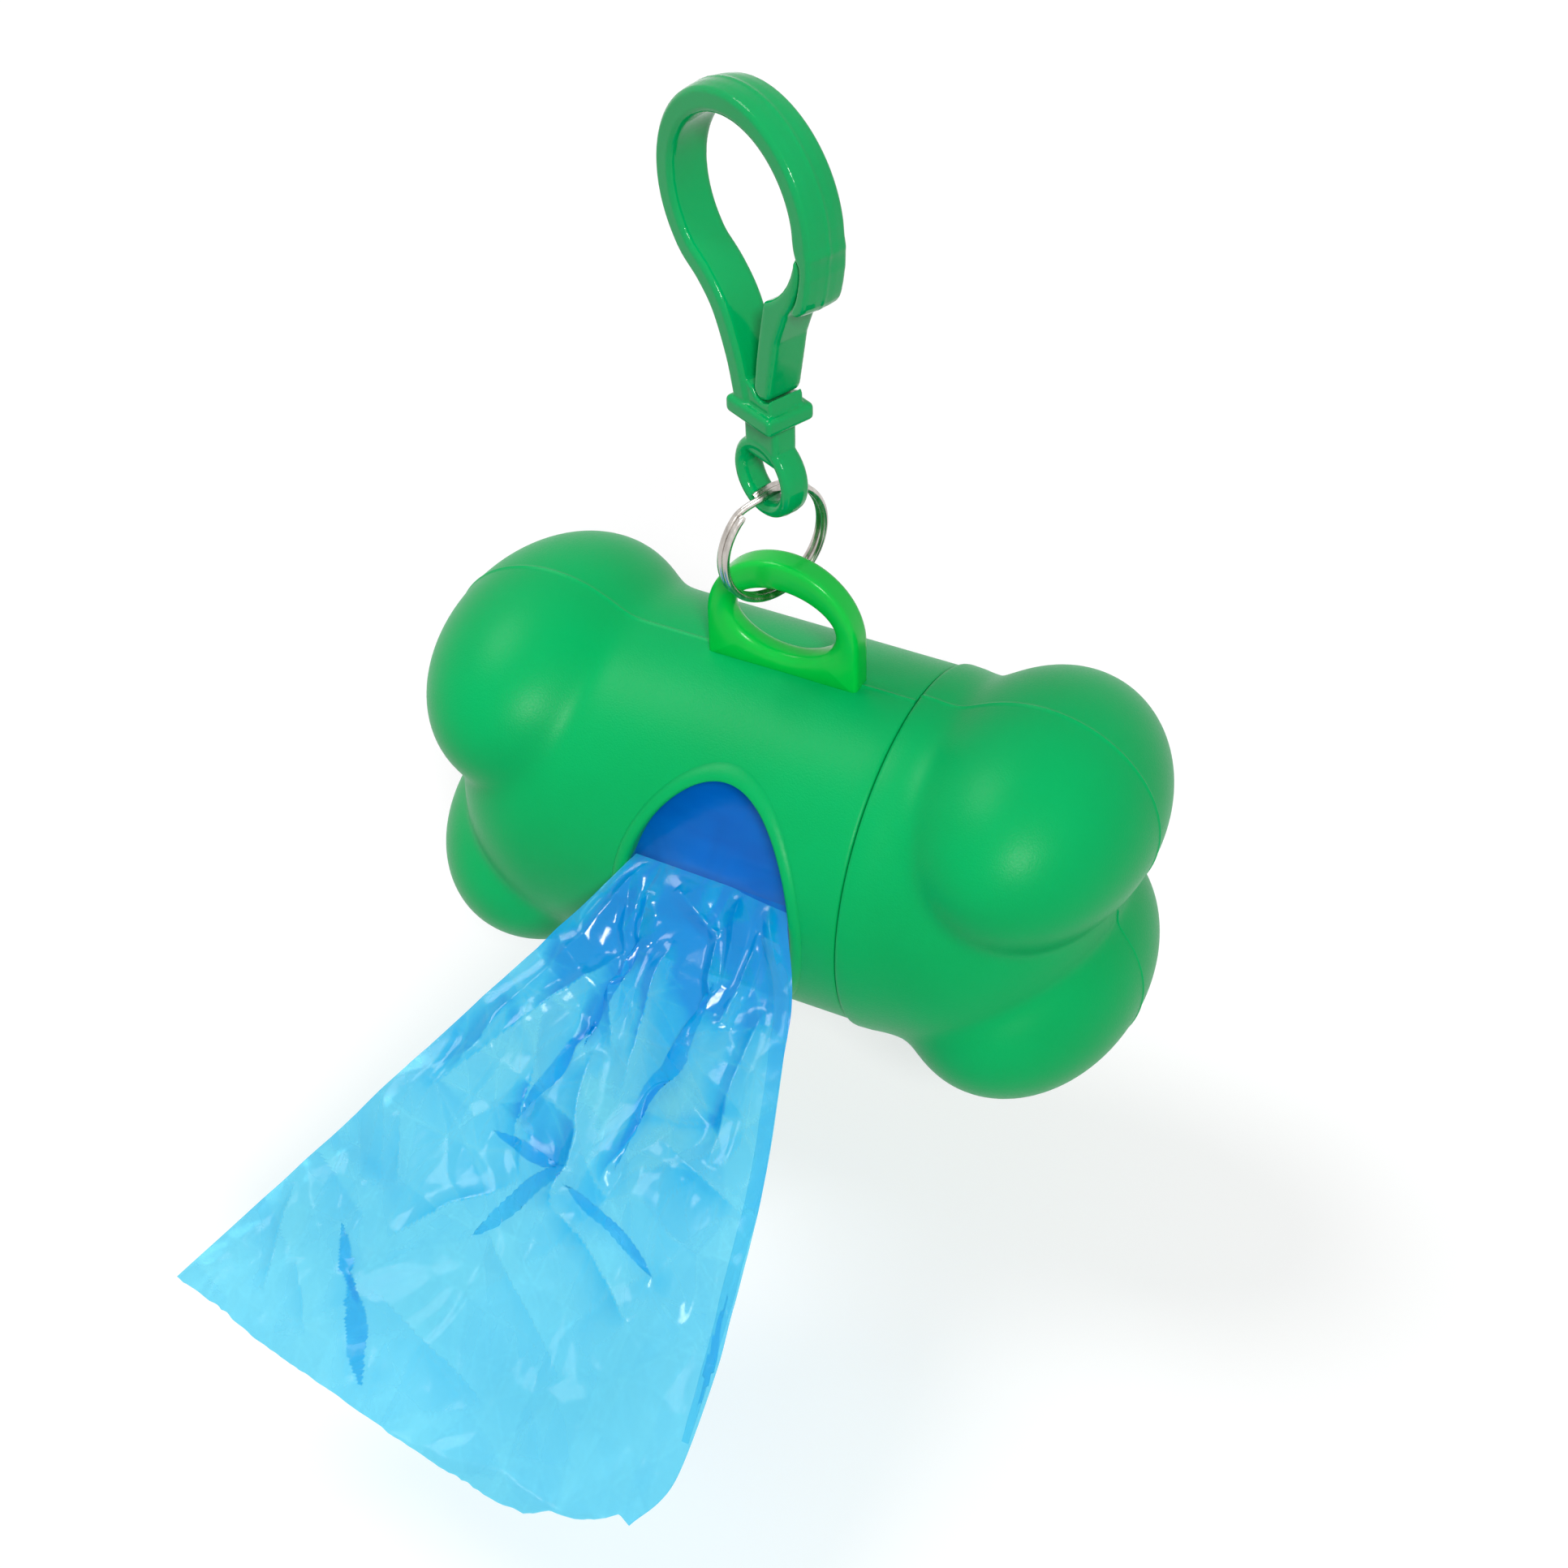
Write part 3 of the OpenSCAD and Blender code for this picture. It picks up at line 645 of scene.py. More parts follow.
def smooth_line(points, spacing=0.5):
    """A Catmull-Rom line through the points."""
    points = [np.asarray(p, float) for p in points]
    points = [2 * points[0] - points[1]] + points + [2 * points[-1] - points[-2]]
    out = []
    for a, b, c, d in zip(points, points[1:], points[2:], points[3:]):
        n = max(2, int(np.linalg.norm(c - b) / spacing))
        for i in range(n):
            t = i / n
            out.append(0.5 * (2 * b + (c - a) * t + (2 * a - 5 * b + 4 * c - d) * t * t
                              + (3 * b - a - 3 * c + d) * t ** 3))
    return np.array(out + [points[-2]])


NOSE_END = -43  # degrees round the bend at which the nose ends


def nose_in(a):
    """Radius of the nose's inner side at an angle in degrees, with room for the gate's beak."""
    return BEND_IN + 2.3 * (0.4 + 0.6 * a / NOSE_END)


def nose_out(a):
    """Radius of the nose's outer side: it bulges outwards and is cut off at a slant."""
    return BEND_OUT + 1.5 * (a / NOSE_END) ** 2 - 1.7 * min(max(-a - 28, 0) / 12, 1) ** 2


NOSE_ANGLES = (-9, -16, -23, -29, -34, -37.5, -39.5)
NOSE_TIP = ((0.45, 0.8), (0.8, 0.92), (0.95, 0.98))  # thickness and depth of the last points, from the tip back


def hook_arm():
    """The long arm, the round bend and the nose in one sweep."""
    arm = [(-1.7, COLLAR_Z - 0.6), (-2.1, COLLAR_Z + 1.2), (-3.0, COLLAR_Z + 4.4), (-4.9, 17.4), (-7.2, 20.0)]
    bend = [BEND + polar((BEND_IN + BEND_OUT) / 2, a) for a in range(226, -2, -8)]
    nose = [BEND + polar((nose_in(a) + nose_out(a)) / 2, a) for a in NOSE_ANGLES]
    line = smooth_line(arm + bend + nose)
    angles = np.degrees(np.arctan2(*(line - BEND).T[::-1]))
    thick = np.full(len(line), BEND_OUT - BEND_IN)
    for i, (p, a) in enumerate(zip(line, angles)):
        if -46 < a < -3 and p[0] > 0:
            share = min((-3 - a) / 5, 1)
            thick[i] = (1 - share) * thick[i] + share * (nose_out(a) - nose_in(a))
    depth = np.full(len(line), ARM_DEPTH)
    for back, (thin, shallow) in enumerate(NOSE_TIP):
        thick[-1 - back] *= thin
        depth[-1 - back] *= shallow
    return arm_sweep(line, thick, depth)


HOOK_ROOT = [(-3.0, COLLAR_Z - 0.9), (3.0, COLLAR_Z - 0.9), (2.75, 9.3), (2.62, 10.5), (2.3, 10.1), (1.35, 9.75),
             (0.5, 10.0), (0.1, 10.5), (-0.3, 10.9), (-1.2, 11.4), (-3.0, 11.4)]
HOOK_COLLAR = [(-3.1, 6.9), (3.1, 6.9), (3.42, 7.1), (3.5, 7.4), (3.5, 8.3), (3.42, 8.6), (3.1, 8.8), (-3.1, 8.8),
               (-3.42, 8.6), (-3.5, 8.3), (-3.5, 7.4), (-3.42, 7.1)]
HOOK_STEM = [(-2.3, 2), (2.3, 2), (2.5, 4), (2.55, 7.2), (-2.55, 7.2), (-2.5, 4)]
# Half of the eye's section: radius and depth
EYE_SECTION = [(2.9, 0), (2.95, 0.8), (3.1, 1.25), (3.45, 1.55), (3.95, 1.55), (4.35, 1.2), (4.5, 0.5)]
EYE_STEP = 5  # degrees


def snap_hook():
    """The one-piece hook: arm with bend and nose, the gate's seat, collar, stem and eye, fused."""
    section = EYE_SECTION + [(r, -y) for r, y in EYE_SECTION[:0:-1]]
    eye = [[in_hook(polar(r, a), y) for r, y in section] for a in range(0, 360, EYE_STEP)]
    parts = [hook_arm(), rounded(HOOK_ROOT, 4.2, 0.25), rounded(HOOK_COLLAR, 5.8, 0.45), rounded(HOOK_STEM, 2.9, 0.5),
             rings_mesh(eye, closed_along=True)]
    obj = piece("snap_hook_skin", join_parts(parts), "hook", HOOK, 48)
    fuse(obj, 7)
    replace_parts(obj, "snap_hook")


GATE_GAP = 0.3  # between the gate's beak and the nose


def hook_gate():
    """The springy finger: a round root in the hook's seat, a tapered blade and a beak that follows the nose."""
    tip, inner = -8, BEND_IN + 0.05
    outline = [(0.12, 11.05), (0.45, 10.35), (1.35, 9.98), (2.25, 10.35), (2.55, 11.05), (3.1, 13.8), (3.8, 17.4)]
    outline += [tuple(BEND + polar(nose_in(a) - GATE_GAP, a)) for a in (-47, -41, -35, -29, -23, -17, -12)]
    outline += [tuple(BEND + polar(inner + 0.3, tip)), tuple(BEND + polar(inner + 0.08, tip - 0.4))]
    outline += [tuple(BEND + polar(inner, a)) for a in range(-14, -63, -8)]
    outline += [(1.1, 17.4), (0.5, 14.0)]
    obj = piece("hook_gate_skin", rounded(outline, 4.3, 0.5), "gate", HOOK, 48)
    fuse(obj, 12)
    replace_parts(obj, "hook_gate")


# ---- roll

ROLL_R, CORE_R, ROLL_Z = 15.5, 7.0, -1.3
ROLL_X0, ROLL_X1 = -43.0, 14.0
LAYERS_SHOWN = 30  # rings of layer ends on each side of the roll
LAYER_PLAY = 0.35  # by which the layers' ends are uneven
ROLL_SIDES = 144


def bag_roll():
    """The wound roll: layers that end a little unevenly, and a slack outer layer."""
    rng = np.random.default_rng(5)
    angles = np.arange(ROLL_SIDES) * math.tau / ROLL_SIDES
    layers = np.linspace(CORE_R, ROLL_R - 0.15, LAYERS_SHOWN)

    def ring(x, radius, slack=0.0):
        wave = 0.05 * np.sin(3 * angles + x * 0.35) + 0.04 * np.sin(7 * angles - x * 0.22 + 1.3)
        q = radius + slack * wave
        return np.stack([np.full_like(angles, x), q * np.cos(angles), ROLL_Z + q * np.sin(angles)], axis=-1)

    rings = [ring(ROLL_X0 + rng.uniform(0, LAYER_PLAY), radius) for radius in layers]
    rings += [ring(x, ROLL_R - 0.1, 1.0) for x in np.linspace(ROLL_X0 + 0.25, ROLL_X1 - 0.25, 60)]
    rings += [ring(ROLL_X1 - rng.uniform(0, LAYER_PLAY), radius) for radius in layers[::-1]]
    obj = piece("bag_roll_wound", rings_mesh(rings, closed_along=True), "roll", ROLL, 60)
    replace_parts(obj, "bag_roll")


# ---- pulled bag

# The film's own plane: x as on the bone and s down the slope from FILM_START, just inside the slot
FILM_SLOPE = math.radians(27.5)
FILM_START = np.array((0.0, -19.4, 3.75))
DOWN_FILM = np.array((0.0, -math.cos(FILM_SLOPE), -math.sin(FILM_SLOPE)))
FILM_UP = np.array((0.0, -math.sin(FILM_SLOPE), math.cos(FILM_SLOPE)))
# Its edges from the slot to the torn end, as (x, s)
LEFT_EDGE = [(-23.7, -1.2), (-51.3, 56.9)]
RIGHT_EDGE = [(-5.8, -1.2), (-5.5, 0.6), (-1.7, 8), (0.4, 15.6), (3, 25.3), (4.5, 32.7), (5.6, 40), (6.5, 46.4),
              (6.8, 57), (4.3, 62.2)]
# How far the torn end hangs past a straight line, by the share across
TORN_END = [(0, 0), (0.1, 0.5), (0.2, 1.5), (0.46, 2.9), (0.61, 3.7), (0.75, 4.6), (0.82, 4.3), (0.86, 2.3),
            (0.92, 1.7), (0.975, -0.5), (1, 0)]


LATTICE = 64  # cells after which the noise repeats


def cells(x, y):
    """The lattice cell that each point lies in, and its place from 0 to 1 in the cell."""
    i, j = np.floor(x).astype(int), np.floor(y).astype(int)
    return i, j, x - i, y - j


def random_corners(seed):
    """A function that gives a random number from 0 to 1 for each corner of the lattice."""
    table = np.random.default_rng(seed).random((LATTICE, LATTICE))
    return lambda i, j: table[i % LATTICE, j % LATTICE]


def lattice_noise(x, y, seed):
    """Smooth noise from 0 to 1 on a lattice one unit wide."""
    at = random_corners(seed)
    i, j, a, b = cells(x, y)
    a, b = a * a * (3 - 2 * a), b * b * (3 - 2 * b)
    return ((at(i, j) * (1 - a) + at(i + 1, j) * a) * (1 - b)
            + (at(i, j + 1) * (1 - a) + at(i + 1, j + 1) * a) * b)


def folds(x, y, seed):
    """Noise from 0 to 1 with sharp crests, as in crumpled film."""
    return 1 - np.abs(2 * lattice_noise(x, y, seed) - 1)


def facets(x, y, seed):
    """Noise from 0 to 1 made of flat triangles that meet in straight creases."""
    at = random_corners(seed)
    i, j, a, b = cells(x, y)
    near, far = at(i, j), at(i + 1, j + 1)
    low = near + (at(i + 1, j) - near) * a + (far - at(i + 1, j)) * b
    high = near + (far - at(i, j + 1)) * a + (at(i, j + 1) - near) * b
    return np.where(a > b, low, high)


def shards(x, y, seed):
    """For the triangles of facets(): a random level from 0 to 1 for each, and the distance to its nearest side."""
    table = np.random.default_rng(seed).random((2, LATTICE, LATTICE))
    i, j, a, b = cells(x, y)
    side = np.min([a, 1 - a, b, 1 - b, np.abs(a - b)], axis=0)
    return table[(a > b).astype(int), i % LATTICE, j % LATTICE], side


def along_path(path, t):
    """Points at shares t of a smooth path's length."""
    line = smooth_line(path, 0.4)
    run = np.concatenate([[0], np.cumsum(np.linalg.norm(np.diff(line, axis=0), axis=1))])
    return np.stack([np.interp(t * run[-1], run, line[:, k]) for k in range(2)], axis=-1)


def off_segment(x, s, a, b):
    """Signed distance of points from a segment's line, a weight that fades to its ends, and the line's normal."""
    a, b = np.asarray(a, float), np.asarray(b, float)
    length = np.linalg.norm(b - a)
    d = (b - a) / length
    t = ((x - a[0]) * d[0] + (s - a[1]) * d[1]) / length
    off = -(x - a[0]) * d[1] + (s - a[1]) * d[0]
    inside = np.clip(t, 0, 1)
    return off, (4 * inside * (1 - inside)) ** 0.5, np.array((-d[1], d[0]))


# Creases pressed into the film, with painted shade and highlight on their sides: ends, height and half width
RIDGES = [((-23, 1), (-21.4, 9.5), 1, 1.2), ((-20.8, 2.2), (-19, 12), 0.9, 1.3), ((-21.6, 8.9), (-27.5, 18), 0.7, 1.6),
          ((-21.6, 8.9), (-17.5, 19), 0.8, 1.6), ((-18, 1), (-12, 4.2), 0.9, 1.3),
          ((-12.4, 3.4), (-10.2, 12), 0.9, 1.2), ((-8, 2.2), (-7.4, 13), 0.8, 1.1), ((-16.5, 6), (-15, 24), 0.9, 1.8),
          ((-24, 12), (-34.5, 30), 0.5, 1.8), ((-26, 22), (-22.5, 35), 0.7, 2), ((-22.5, 35), (-31, 45), 0.6, 2.2),
          ((-19, 20), (-15, 38), 0.9, 2), ((-15.1, 37.9), (-3.9, 44.5), 0.7, 1.6), ((-11.8, 20), (-12.2, 32), 0.7, 1.5),
          ((-30, 18), (-33, 27), 0.4, 1.5), ((-36, 33), (-33, 40), 0.4, 1.4), ((-43.9, 43.5), (-41.6, 55), 0.5, 1.4),
          ((-39.9, 51), (-35.3, 57.5), 0.4, 1.3), ((-4, 10), (-2.6, 27), 0.6, 1.3), ((-8, 26), (2.5, 30.5), 0.5, 1.5),
          ((-23, 40), (-8, 52), 0.35, 2.4), ((-30, 50), (-14, 57), 0.3, 2.2)]
# Places where the film is folded back on itself: ends and half width
PLEATS = [((-37.6, 45.5), (-31.6, 53.2), 0.9), ((-33.8, 49.6), (-26.5, 60), 1.3), ((-21.5, 17), (-24, 29), 0.9),
          ((-26.2, 31), (-18, 32.4), 0.8), ((-16.8, 32), (-23.6, 42), 1.2), ((-15.5, 34.2), (-3, 39.4), 0.9),
          ((4.3, 37), (6, 51), 0.5), ((-19.6, 7), (-21, 20), 0.8), ((-10.6, 9), (-11.9, 31), 0.9)]
# Streaks of more film and painted shade (above 0) or of painted sheen (below 0): ends, half width and amount
SHADE_AND_SHEEN_STREAKS = [((-17.5, 1), (-10.4, 13), 1.9, 0.6), ((-10.9, 7.5), (-8.4, 0.5), 1.2, 0.35),
          ((-21.2, 3), (-23, 22), 1.7, 0.3), ((-22, 14), (-23.6, 27), 2, 0.4), ((-25.8, 25), (-16.8, 33.2), 1.9, 0.35),
          ((-10.6, 11), (-12.8, 36), 2.4, 0.4), ((-10.9, 25), (-1.6, 20.8), 0.9, 0.4),
          ((-16, 36), (-1, 40.6), 1.5, 0.4), ((-31, 17.5), (-26, 23), 1.2, 0.35), ((-38, 47), (-26, 61), 2.2, 0.25),
          ((-24.4, 1), (-37, 23), 1.6, -0.45), ((-18.4, 8), (-13.8, 29), 1.7, -0.4), ((-8.6, 6), (-5, 17), 1.1, -0.4)]
BAG_ROWS, BAG_COLUMNS = 250, 190


def film_rows():
    """The front layer's places on the film's own plane: x, s and the share u across and v along it."""
    v = np.linspace(0, 1, BAG_ROWS)[:, None]
    u = np.linspace(0, 1, BAG_COLUMNS)[None, :]
    left, right = along_path(LEFT_EDGE, v[:, 0]), along_path(RIGHT_EDGE, v[:, 0])
    x = left[:, :1] * (1 - u) + right[:, :1] * u
    s = left[:, 1:] * (1 - u) + right[:, 1:] * u
    ragged = 0.25 * (folds(u * 40, u * 0 + 3.3, 21) - 0.5)
    s = s + (np.interp(u, *np.transpose(TORN_END)) + ragged) * v ** 5
    return x, s, u + 0 * v, v + 0 * u


PLEAT_REACH = 4.5  # how far beside a pleat the film is drawn towards it
PLEAT_LIFT = 0.14  # half of the height between a pleat's layers


def pleat(x, s, h, calm):
    """Folds the film back on itself along each pleat, the folded layers lying on each other."""
    for a, b, half in PLEATS:
        off, inside, normal = off_segment(x, s, a, b)
        off = off + 1.2 * (lattice_noise(x / 4.5 + 9, s / 4.5, 61) - 0.5)
        w = half * inside ** 1.5 * (0.6 + 0.8 * lattice_noise(x / 5 + 3, s / 5, 62)) + 1e-6
        folded = np.abs(off) < w
        fade = np.exp(-np.maximum(np.abs(off) - w, 0) / PLEAT_REACH) * calm
        shift = np.where(folded, -2 * off, -2 * w * np.sign(off) * fade)
        x, s = x + shift * normal[0], s + shift * normal[1]
        lift = np.where(folded, off / w, np.sign(off) * fade)
        h = h + PLEAT_LIFT * lift * np.minimum(inside * 3, 1)
    return x, s, h


def lattices(x, s, seed):
    """Bent places in which the film's facets are straight, at three sizes."""
    bent_x = x + 5 * lattice_noise(x / 8, s / 8, seed + 7)
    bent_s = s + 5 * lattice_noise(x / 8 + 20, s / 8, seed + 8)
    turned_x, turned_s = 0.8 * bent_x + 0.6 * bent_s, 0.8 * bent_s - 0.6 * bent_x
    return [(turned_x / 8.0 + 40, turned_s / 11.0 + 20, seed + 1), (bent_x / 3.9 + 30, bent_s / 5.2 + 30, seed + 2),
            (turned_x / 1.7 + 50, turned_s / 2.1 + 50, seed + 3)]


GATHER_DEPTH, GATHER_RUN = 2.2, 14  # of the folds at the slot, and the length over which they fade
CALM_START = 38  # distance from the slot at which the facets begin to calm down
FACET_DEPTHS = (2.8, 1.3, 0.3)  # of the three sizes of facets
FACET_SHADING = ((0.42, 0.03), (0.20, 0.05))  # of the two larger sizes: painted facet shade and width of the creases


def crumple(x, s, u, seed, strength):
    """Height of the crumpled film: folds that run out of the slot, and facets that calm down to the torn end."""
    gathered = 0.15 + GATHER_DEPTH * np.exp(-np.maximum(s, 0) / GATHER_RUN)
    calm = 1 - 0.6 * np.clip((s - CALM_START) / 15, 0, 1)
    h = gathered * (folds(u * 5, s / 30 + 2 * lattice_noise(u * 3, s / 20, seed + 5) + 7, seed) - 0.5)
    for place, depth, calmed in zip(lattices(x, s, seed), FACET_DEPTHS, (calm, calm, 1.0)):
        h = h + depth * calmed * (facets(*place) - 0.5)
    return strength * h


def amount_and_painted_shade(x, s, u, seed):
    """How much film lies at each point, from 0 to 1, and painted light and shade: more by the slot, partly as painted
    shade, and in the streaks that run out of it, a little different in each facet as painted shade and sheen, more on
    one side of each ridge as painted shade and less on the other as a painted highlight, and streaks of painted
    shade and sheen."""
    # More film gathered by the slot, with painted shade there as well
    thick = 0.08 + 0.75 * np.exp(-np.maximum(s - 9, 0) / 11)
    wild = 0.35 + 0.65 * np.clip((48 - s) / 20, 0, 1)
    streaks = folds(u * 9 + 1.5 * lattice_noise(u * 4, s / 9, seed + 31), s / 24 + 3, seed + 30) - 0.5
    drift = lattice_noise(x / 9, s / 9, seed + 33) - 0.5
    d = thick + 0.75 * np.exp(-np.maximum(s, 0) / 26) * streaks + 0.12 * drift
    # Painted shade and sheen: each facet a little deeper or paler, and paler along its creases
    for place, (share, width) in zip(lattices(x, s, seed), FACET_SHADING):
        level, side = shards(*place)
        d = d + wild * (share * (level - 0.5) - 0.14 * np.clip(1 - side / width, 0, 1))
    # Painted shade on one side of each ridge and a painted highlight on the other
    for a, b, height, half in RIDGES:
        off, inside, _ = off_segment(x, s, a, b)
        dense_and_shaded, pale = np.exp(-np.maximum(off, 0) / (1.5 * half)), -0.3 * np.exp(np.minimum(off, 0) / half)
        d = d + 0.75 * height * inside * np.where(off > 0, dense_and_shaded, pale)
    # Painted shade along the deeper streaks, partly more film, and painted sheen along the paler ones
    for a, b, half, amount in SHADE_AND_SHEEN_STREAKS:
        off, inside, _ = off_segment(x, s, a, b)
        off = off + 1.6 * (facets(x / 2.6 + 9, s / 3.4, seed + 34) - 0.5)
        d = d + amount * inside * np.exp(-(off / half) ** 2)
    return np.clip(d, 0, 1)


EXIT_TILT = 0.08  # the film leaves the slot lower on the cap's side, in mm for each mm


def place_film(x, s, h):
    """Points at x and s on the film's plane and at height h over it."""
    tilt = -EXIT_TILT * (x - SLOT_X) * np.exp(-np.maximum(s, 0) / 10)
    return (FILM_START + np.stack([x, 0 * x, 0 * x], axis=-1) + s[..., None] * DOWN_FILM
            + (h + tilt)[..., None] * FILM_UP)


FRONT_SEED, BACK_SEED = 11, 51
BACK_SHIFT = 31  # sets the back layer's pattern apart from the front's
MOUTH_RUN, MOUTH_RISE = 5, 0.5  # of the film over the slot's edge


def film_height(x, s, u):
    """Height of the bag's front layer, which rises over the slot's edge and follows the ridges."""
    h = crumple(x, s, u, FRONT_SEED, 1.0)
    for a, b, height, half in RIDGES:
        off, inside, _ = off_segment(x, s, a, b)
        h = h + height * inside * np.clip(1 - np.abs(off) / half, 0, 1) ** 1.4
    mouth = np.clip((s + 0.6) / MOUTH_RUN, 0, 1)
    return h * mouth * (2 - mouth) + MOUTH_RISE * np.sin(np.pi * mouth)


def set_amount_and_shade(obj, values):
    """Stores one value of film amount and painted shade for each of the mesh's points, for the film's material."""
    attribute = obj.data.attributes.new(AMOUNT_AND_SHADE, "FLOAT", "POINT")
    attribute.data.foreach_set("value", np.clip(values, 0, 1).astype(np.float32))


def strip_faces(rows, size):
    """Quads of an open sheet of rows with size points each."""
    return [(i * size + j, i * size + j + 1, (i + 1) * size + j + 1, (i + 1) * size + j)
            for i in range(rows - 1) for j in range(size - 1)]


# The side fold that lies on the bag's front along its right edge: its two sides as (x, s)
GUSSET_FOLD = [(-7.4, 3), (-3.4, 9), (1.4, 25.3), (4, 40), (6, 53)]
GUSSET_SIDE = [(-5.2, 3), (-1.6, 9), (3, 25.3), (5.4, 40), (6.7, 53)]
GUSSET_ROWS, GUSSET_COLUMNS = 160, 16
GUSSET_LIFT = 0.2
GUSSET_DENSITY = 0.15


def gusset():
    """Points of the side fold, a little above the front layer where it is free."""
    v = np.linspace(0, 1, GUSSET_ROWS)
    fold, side = along_path(GUSSET_FOLD, v), along_path(GUSSET_SIDE, v)
    w = np.linspace(0, 1, GUSSET_COLUMNS)[None, :]
    x = fold[:, :1] * (1 - w) + side[:, :1] * w
    s = fold[:, 1:] * (1 - w) + side[:, 1:] * w
    # The share across, between the bag's edges at about the same distance from the slot
    left = along_path(LEFT_EDGE, np.clip(s / 60, 0, 1).ravel())[:, 0]
    right = along_path(RIGHT_EDGE, np.clip(s / 62, 0, 1).ravel())[:, 0]
    u = np.clip((x.ravel() - left) / (right - left), 0, 1).reshape(x.shape)
    free = np.sin(np.pi * (1 - w) / 2) ** 0.5
    h = film_height(x, s, u) + GUSSET_LIFT * free * (1 + 0.5 * folds(x / 4, s / 6, 32))
    return place_film(x, s, h)


EDGE_W = 1.6  # width of the strip in which front and back come together at an edge
BACK_DEPTH, BACK_STRENGTH = 1.1, 0.9  # how far the back layer lies under the plane, and how much it is crumpled
LAYER_GAP, END_GAP, PLEAT_GAP = 0.2, 0.15, 0.04  # room between the layers in general, at the torn end and in pleats
FRONT_CLEAR, BACK_CLEAR = 0.25, 0.05  # least height of the layers over the CAD's lowest point
BACK_SHARE = 0.6  # of the front's amount and painted shade


def pulled_bag():
    """The drawn-out bag: front and back layers that meet at the edges and the torn end, and the side fold."""
    x, s, u, v = film_rows()
    top = film_height(x, s, u)
    width = 6 + 51 * v
    edge = np.clip(np.minimum(u, 1 - u) * width / EDGE_W, 0, 1)
    apart = 1 - v ** 10
    under = np.minimum(crumple(x + BACK_SHIFT, s, u, BACK_SEED, BACK_STRENGTH) - BACK_DEPTH, top - LAYER_GAP)
    under = under * apart + (top - END_GAP) * (1 - apart)
    top = top * (0.3 + 0.7 * edge)
    under = top * (1 - edge) + under * edge
    front_x, front_s, top = pleat(x, s, top, edge * (1 - v ** 6))
    front = place_film(front_x, front_s, top)
    back = place_film(x, s, np.minimum(under, top - PLEAT_GAP))
    lowest = (cad_box[0].z - ORIGIN.z) / MM
    front[..., 2] = np.maximum(front[..., 2], lowest + FRONT_CLEAR)
    back[..., 2] = np.maximum(back[..., 2], lowest + BACK_CLEAR)
    inner = slice(-2, 0, -1)  # the back's points from right to left, without the edges that it shares with the front
    rings = [np.concatenate([front[i], back[i, inner]]) for i in range(BAG_ROWS)]
    fold = gusset().reshape(-1, 3)
    shape = join_parts([rings_mesh(rings), (fold, strip_faces(GUSSET_ROWS, GUSSET_COLUMNS))])
    obj = piece("pulled_bag_film", shape, None, FILM, 70)
    # Film amount with painted shade and sheen, for the front and the back layer
    lit = amount_and_painted_shade(x, s, u, FRONT_SEED)
    hidden = BACK_SHARE * amount_and_painted_shade(x + BACK_SHIFT, s, u, BACK_SEED)
    amounts_and_shade = np.concatenate([lit, hidden[:, inner]], axis=1)
    set_amount_and_shade(obj, np.concatenate([amounts_and_shade.ravel(), np.full(len(fold), GUSSET_DENSITY)]))
    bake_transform(obj)
    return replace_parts(obj, "pulled_bag")


# The film tail, from the roll to a place under the pulled bag's edge
TAIL_WRAP = (36, 24, 12)  # degrees by which its first rows lie on the roll
TAIL_AIM, TAIL_END = (-19.5, 3.7), (-20.2, 3.2)  # y and z of where it leaves the roll for, and of where it ends
TAIL_HALF_W = (28.5, 8.6)  # on the roll and at its end
TAIL_ROWS, TAIL_COLUMNS = 24, 90  # the rows without those on the roll


def film_tail():
    """The stretch of film from the roll to the slot, drawn together on its way."""
    centre = np.array((0.0, ROLL_Z))
    aim = np.array(TAIL_AIM) - centre
    radius = ROLL_R + 0.25
    lean = math.atan2(aim[1], -aim[0]) + math.acos(radius / np.linalg.norm(aim))

    def on_roll(a):
        return centre + radius * np.array((-math.cos(lean + a), math.sin(lean + a)))

    leave = on_roll(0.0)
    path = [on_roll(math.radians(a)) for a in TAIL_WRAP]
    path += [leave + (np.array(TAIL_END) - leave) * t for t in np.linspace(0, 1, TAIL_ROWS)]
    points = []
    w = np.linspace(-1, 1, TAIL_COLUMNS)
    for i, (y, z) in enumerate(path):
        t = max(i - len(TAIL_WRAP), 0) / (TAIL_ROWS - 1)
        half = TAIL_HALF_W[1] + (TAIL_HALF_W[0] - TAIL_HALF_W[1]) * (1 - t) ** 1.6
        h = 0.8 * t * (1 - t) * folds((w + 1) * 4, np.full(TAIL_COLUMNS, i / 12.0), 71)
        n = np.array((y, z)) - centre
        n = n / np.linalg.norm(n)
        points += [(SLOT_X + half * a, y + n[0] * k, z + n[1] * k - (0.8 + EXIT_TILT * half * a) * t * t)
                   for a, k in zip(w, h)]
    obj = piece("film_tail", (points, strip_faces(len(path), TAIL_COLUMNS)), "bone", ROLL_FILM, 70)
    run = np.repeat(np.linspace(0, 1, len(path)), TAIL_COLUMNS)
    set_amount_and_shade(obj, 0.2 + 0.6 * run * folds(np.tile(w, len(path)) * 7 + 9, run * 2, 73))
    return obj


# ---- stage

# The photograph's camera, solved from the outlines of tube, seam and knobs, in degrees and mm from the bone's origin
CAMERA_YAW, CAMERA_PITCH, CAMERA_ROLL = 27.41, 40.95, -1.445
CAMERA_SPOT = (89.594, -202.969, 201.321)
CAMERA_LENS, CAMERA_SENSOR = 63.54, 36.0


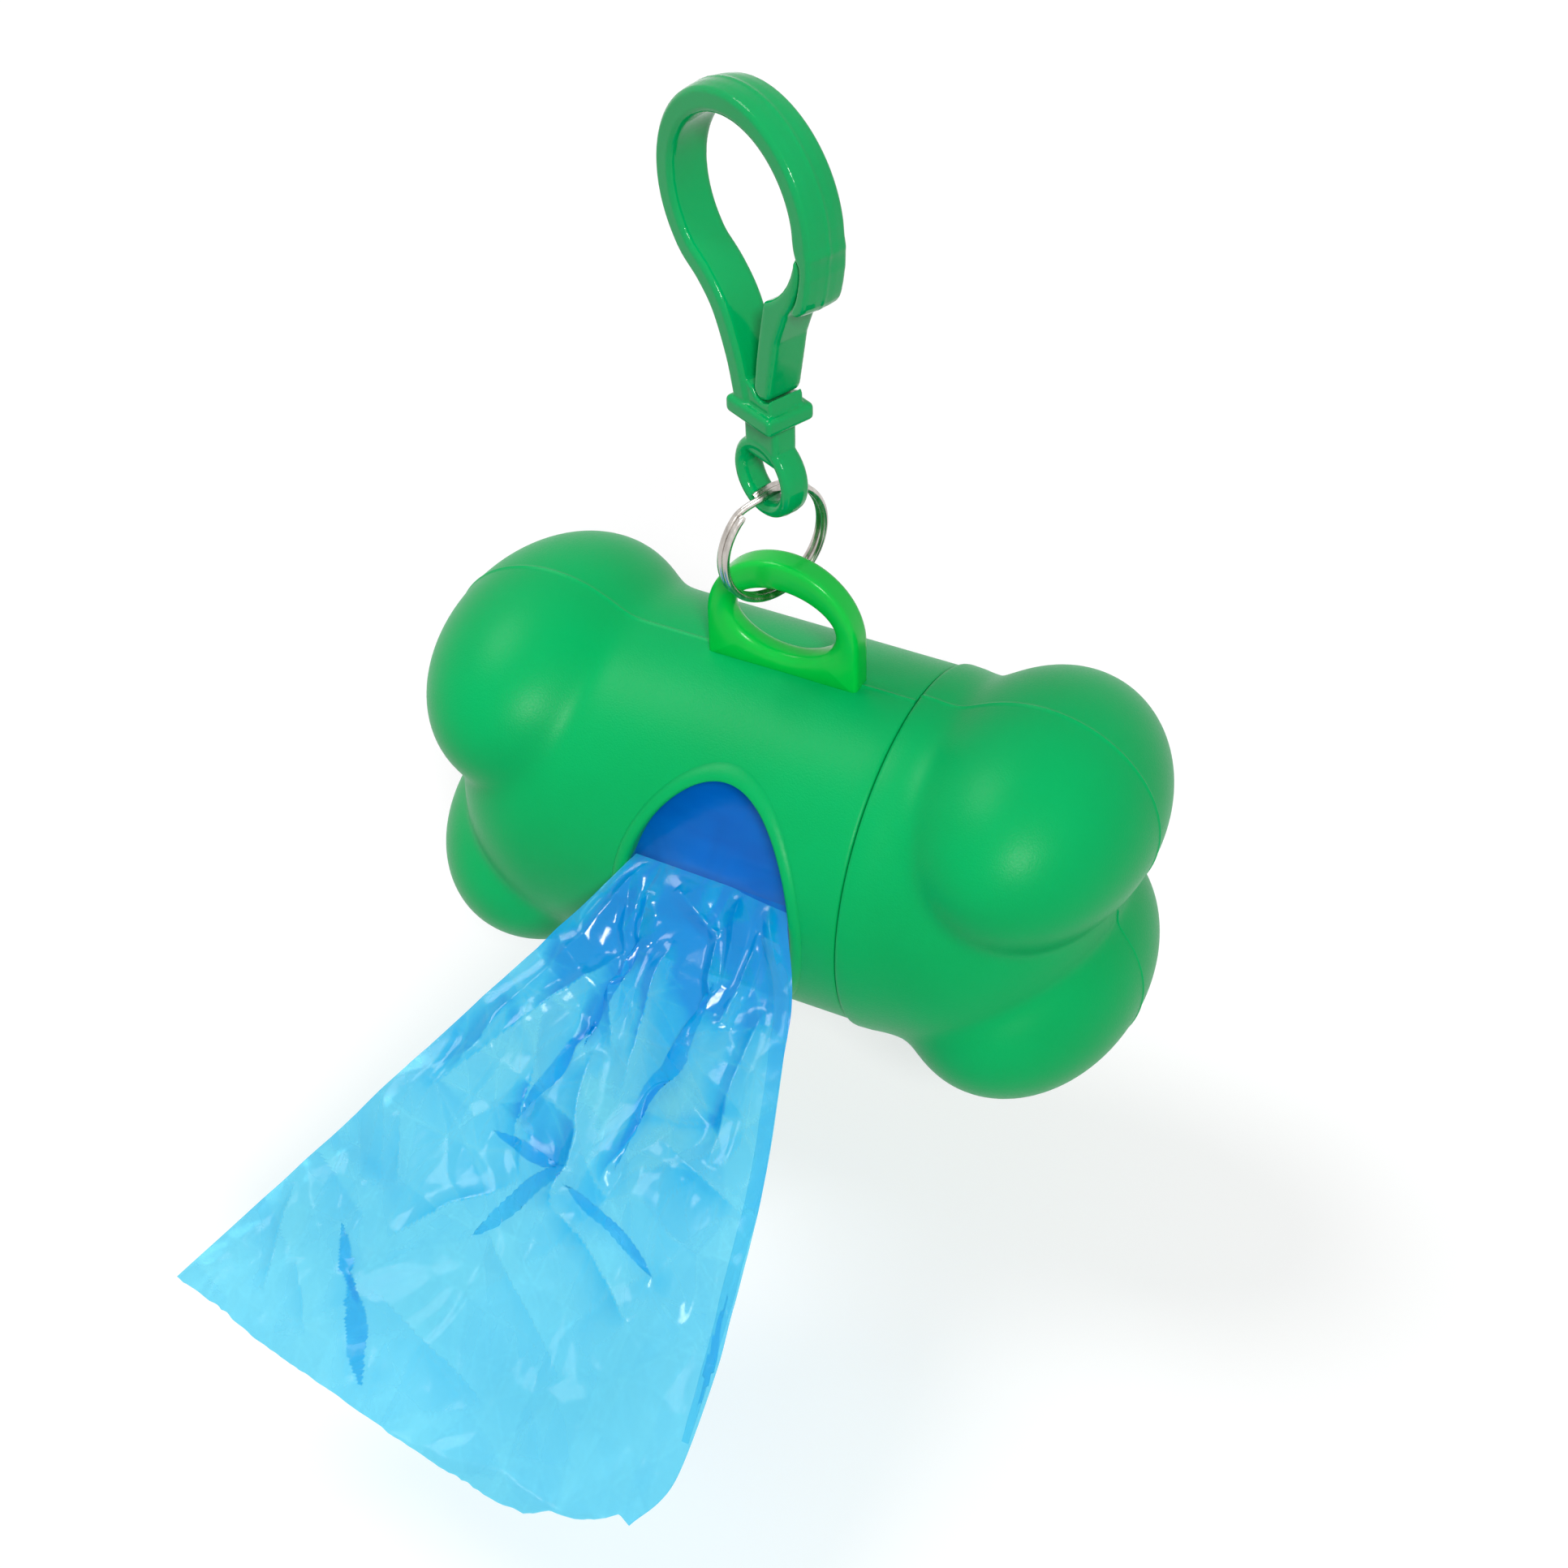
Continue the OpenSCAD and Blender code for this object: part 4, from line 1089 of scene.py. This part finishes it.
def camera():
    """The photograph's camera."""
    yaw, pitch, roll = (math.radians(a) for a in (CAMERA_YAW, CAMERA_PITCH, CAMERA_ROLL))
    back = Vector((math.sin(yaw) * math.cos(pitch), -math.cos(yaw) * math.cos(pitch), math.sin(pitch)))
    level = Vector((math.cos(yaw), math.sin(yaw), 0))
    right = math.cos(roll) * level + math.sin(roll) * back.cross(level)
    up = back.cross(right)
    data = bpy.data.cameras.new("camera")
    data.lens, data.sensor_width = CAMERA_LENS, CAMERA_SENSOR
    data.clip_start, data.clip_end = 0.01, 20
    obj = add_object("camera", data)
    turn = Matrix((right, up, back)).transposed().to_4x4()
    obj.matrix_world = Matrix.Translation(Vector(CAMERA_SPOT) * MM + ORIGIN) @ turn
    bpy.context.scene.camera = obj


def lamp(name, direction, width, strength):
    """A wide, far softbox: direction points from the object to it, width is how wide it looks, in degrees."""
    data = bpy.data.lights.new(name, "SUN")
    data.angle, data.energy = math.radians(width), strength
    add_object(name, data).rotation_euler = Vector(direction).to_track_quat("Z", "Y").to_euler()


FLOOR_Z = cad_box[0].z - 20 * MM  # the object hangs by its hook, and a pulled bag reaches below it
FLOOR_HALF = 3.0


def floor():
    """A plain pale floor."""
    corners = [(x * FLOOR_HALF, y * FLOOR_HALF, FLOOR_Z) for x, y in ((-1, -1), (1, -1), (1, 1), (-1, 1))]
    mesh = bpy.data.meshes.new("floor")
    mesh.from_pydata(corners, [], [(0, 1, 2, 3)])
    mesh.materials.append(backdrop())
    obj = add_object("floor", mesh)


ROOM_LEVEL = 0.3


def world():
    """A white background, and a plain soft level for the object's own light."""
    room = bpy.data.worlds.new("soft_white")
    bpy.context.scene.world = room
    room.use_nodes = True
    tree = room.node_tree
    level = tree.nodes.new("ShaderNodeMapRange")
    level.inputs["To Min"].default_value = ROOM_LEVEL
    tree.links.new(shows_background(tree), level.inputs["Value"])
    tree.links.new(level.outputs[0], tree.nodes["Background"].inputs["Strength"])
    tree.nodes["Background"].inputs["Color"].default_value = (1, 1, 1, 1)


camera()
floor()
world()
lamp("key", (0.43, -0.64, 0.63), width=14, strength=2.2)
lamp("top", (-0.50, -0.02, 0.86), width=24, strength=1.15)

body_shell()
end_cap()
hanging_loop()
split_ring()
snap_hook()
hook_gate()
bag_roll()
core = frame["nodes"]["roll_core"].data
core.materials.clear()
core.materials.append(CARD)
bag = pulled_bag()
tail = film_tail()

bpy.context.scene.view_settings.view_transform = "Standard"
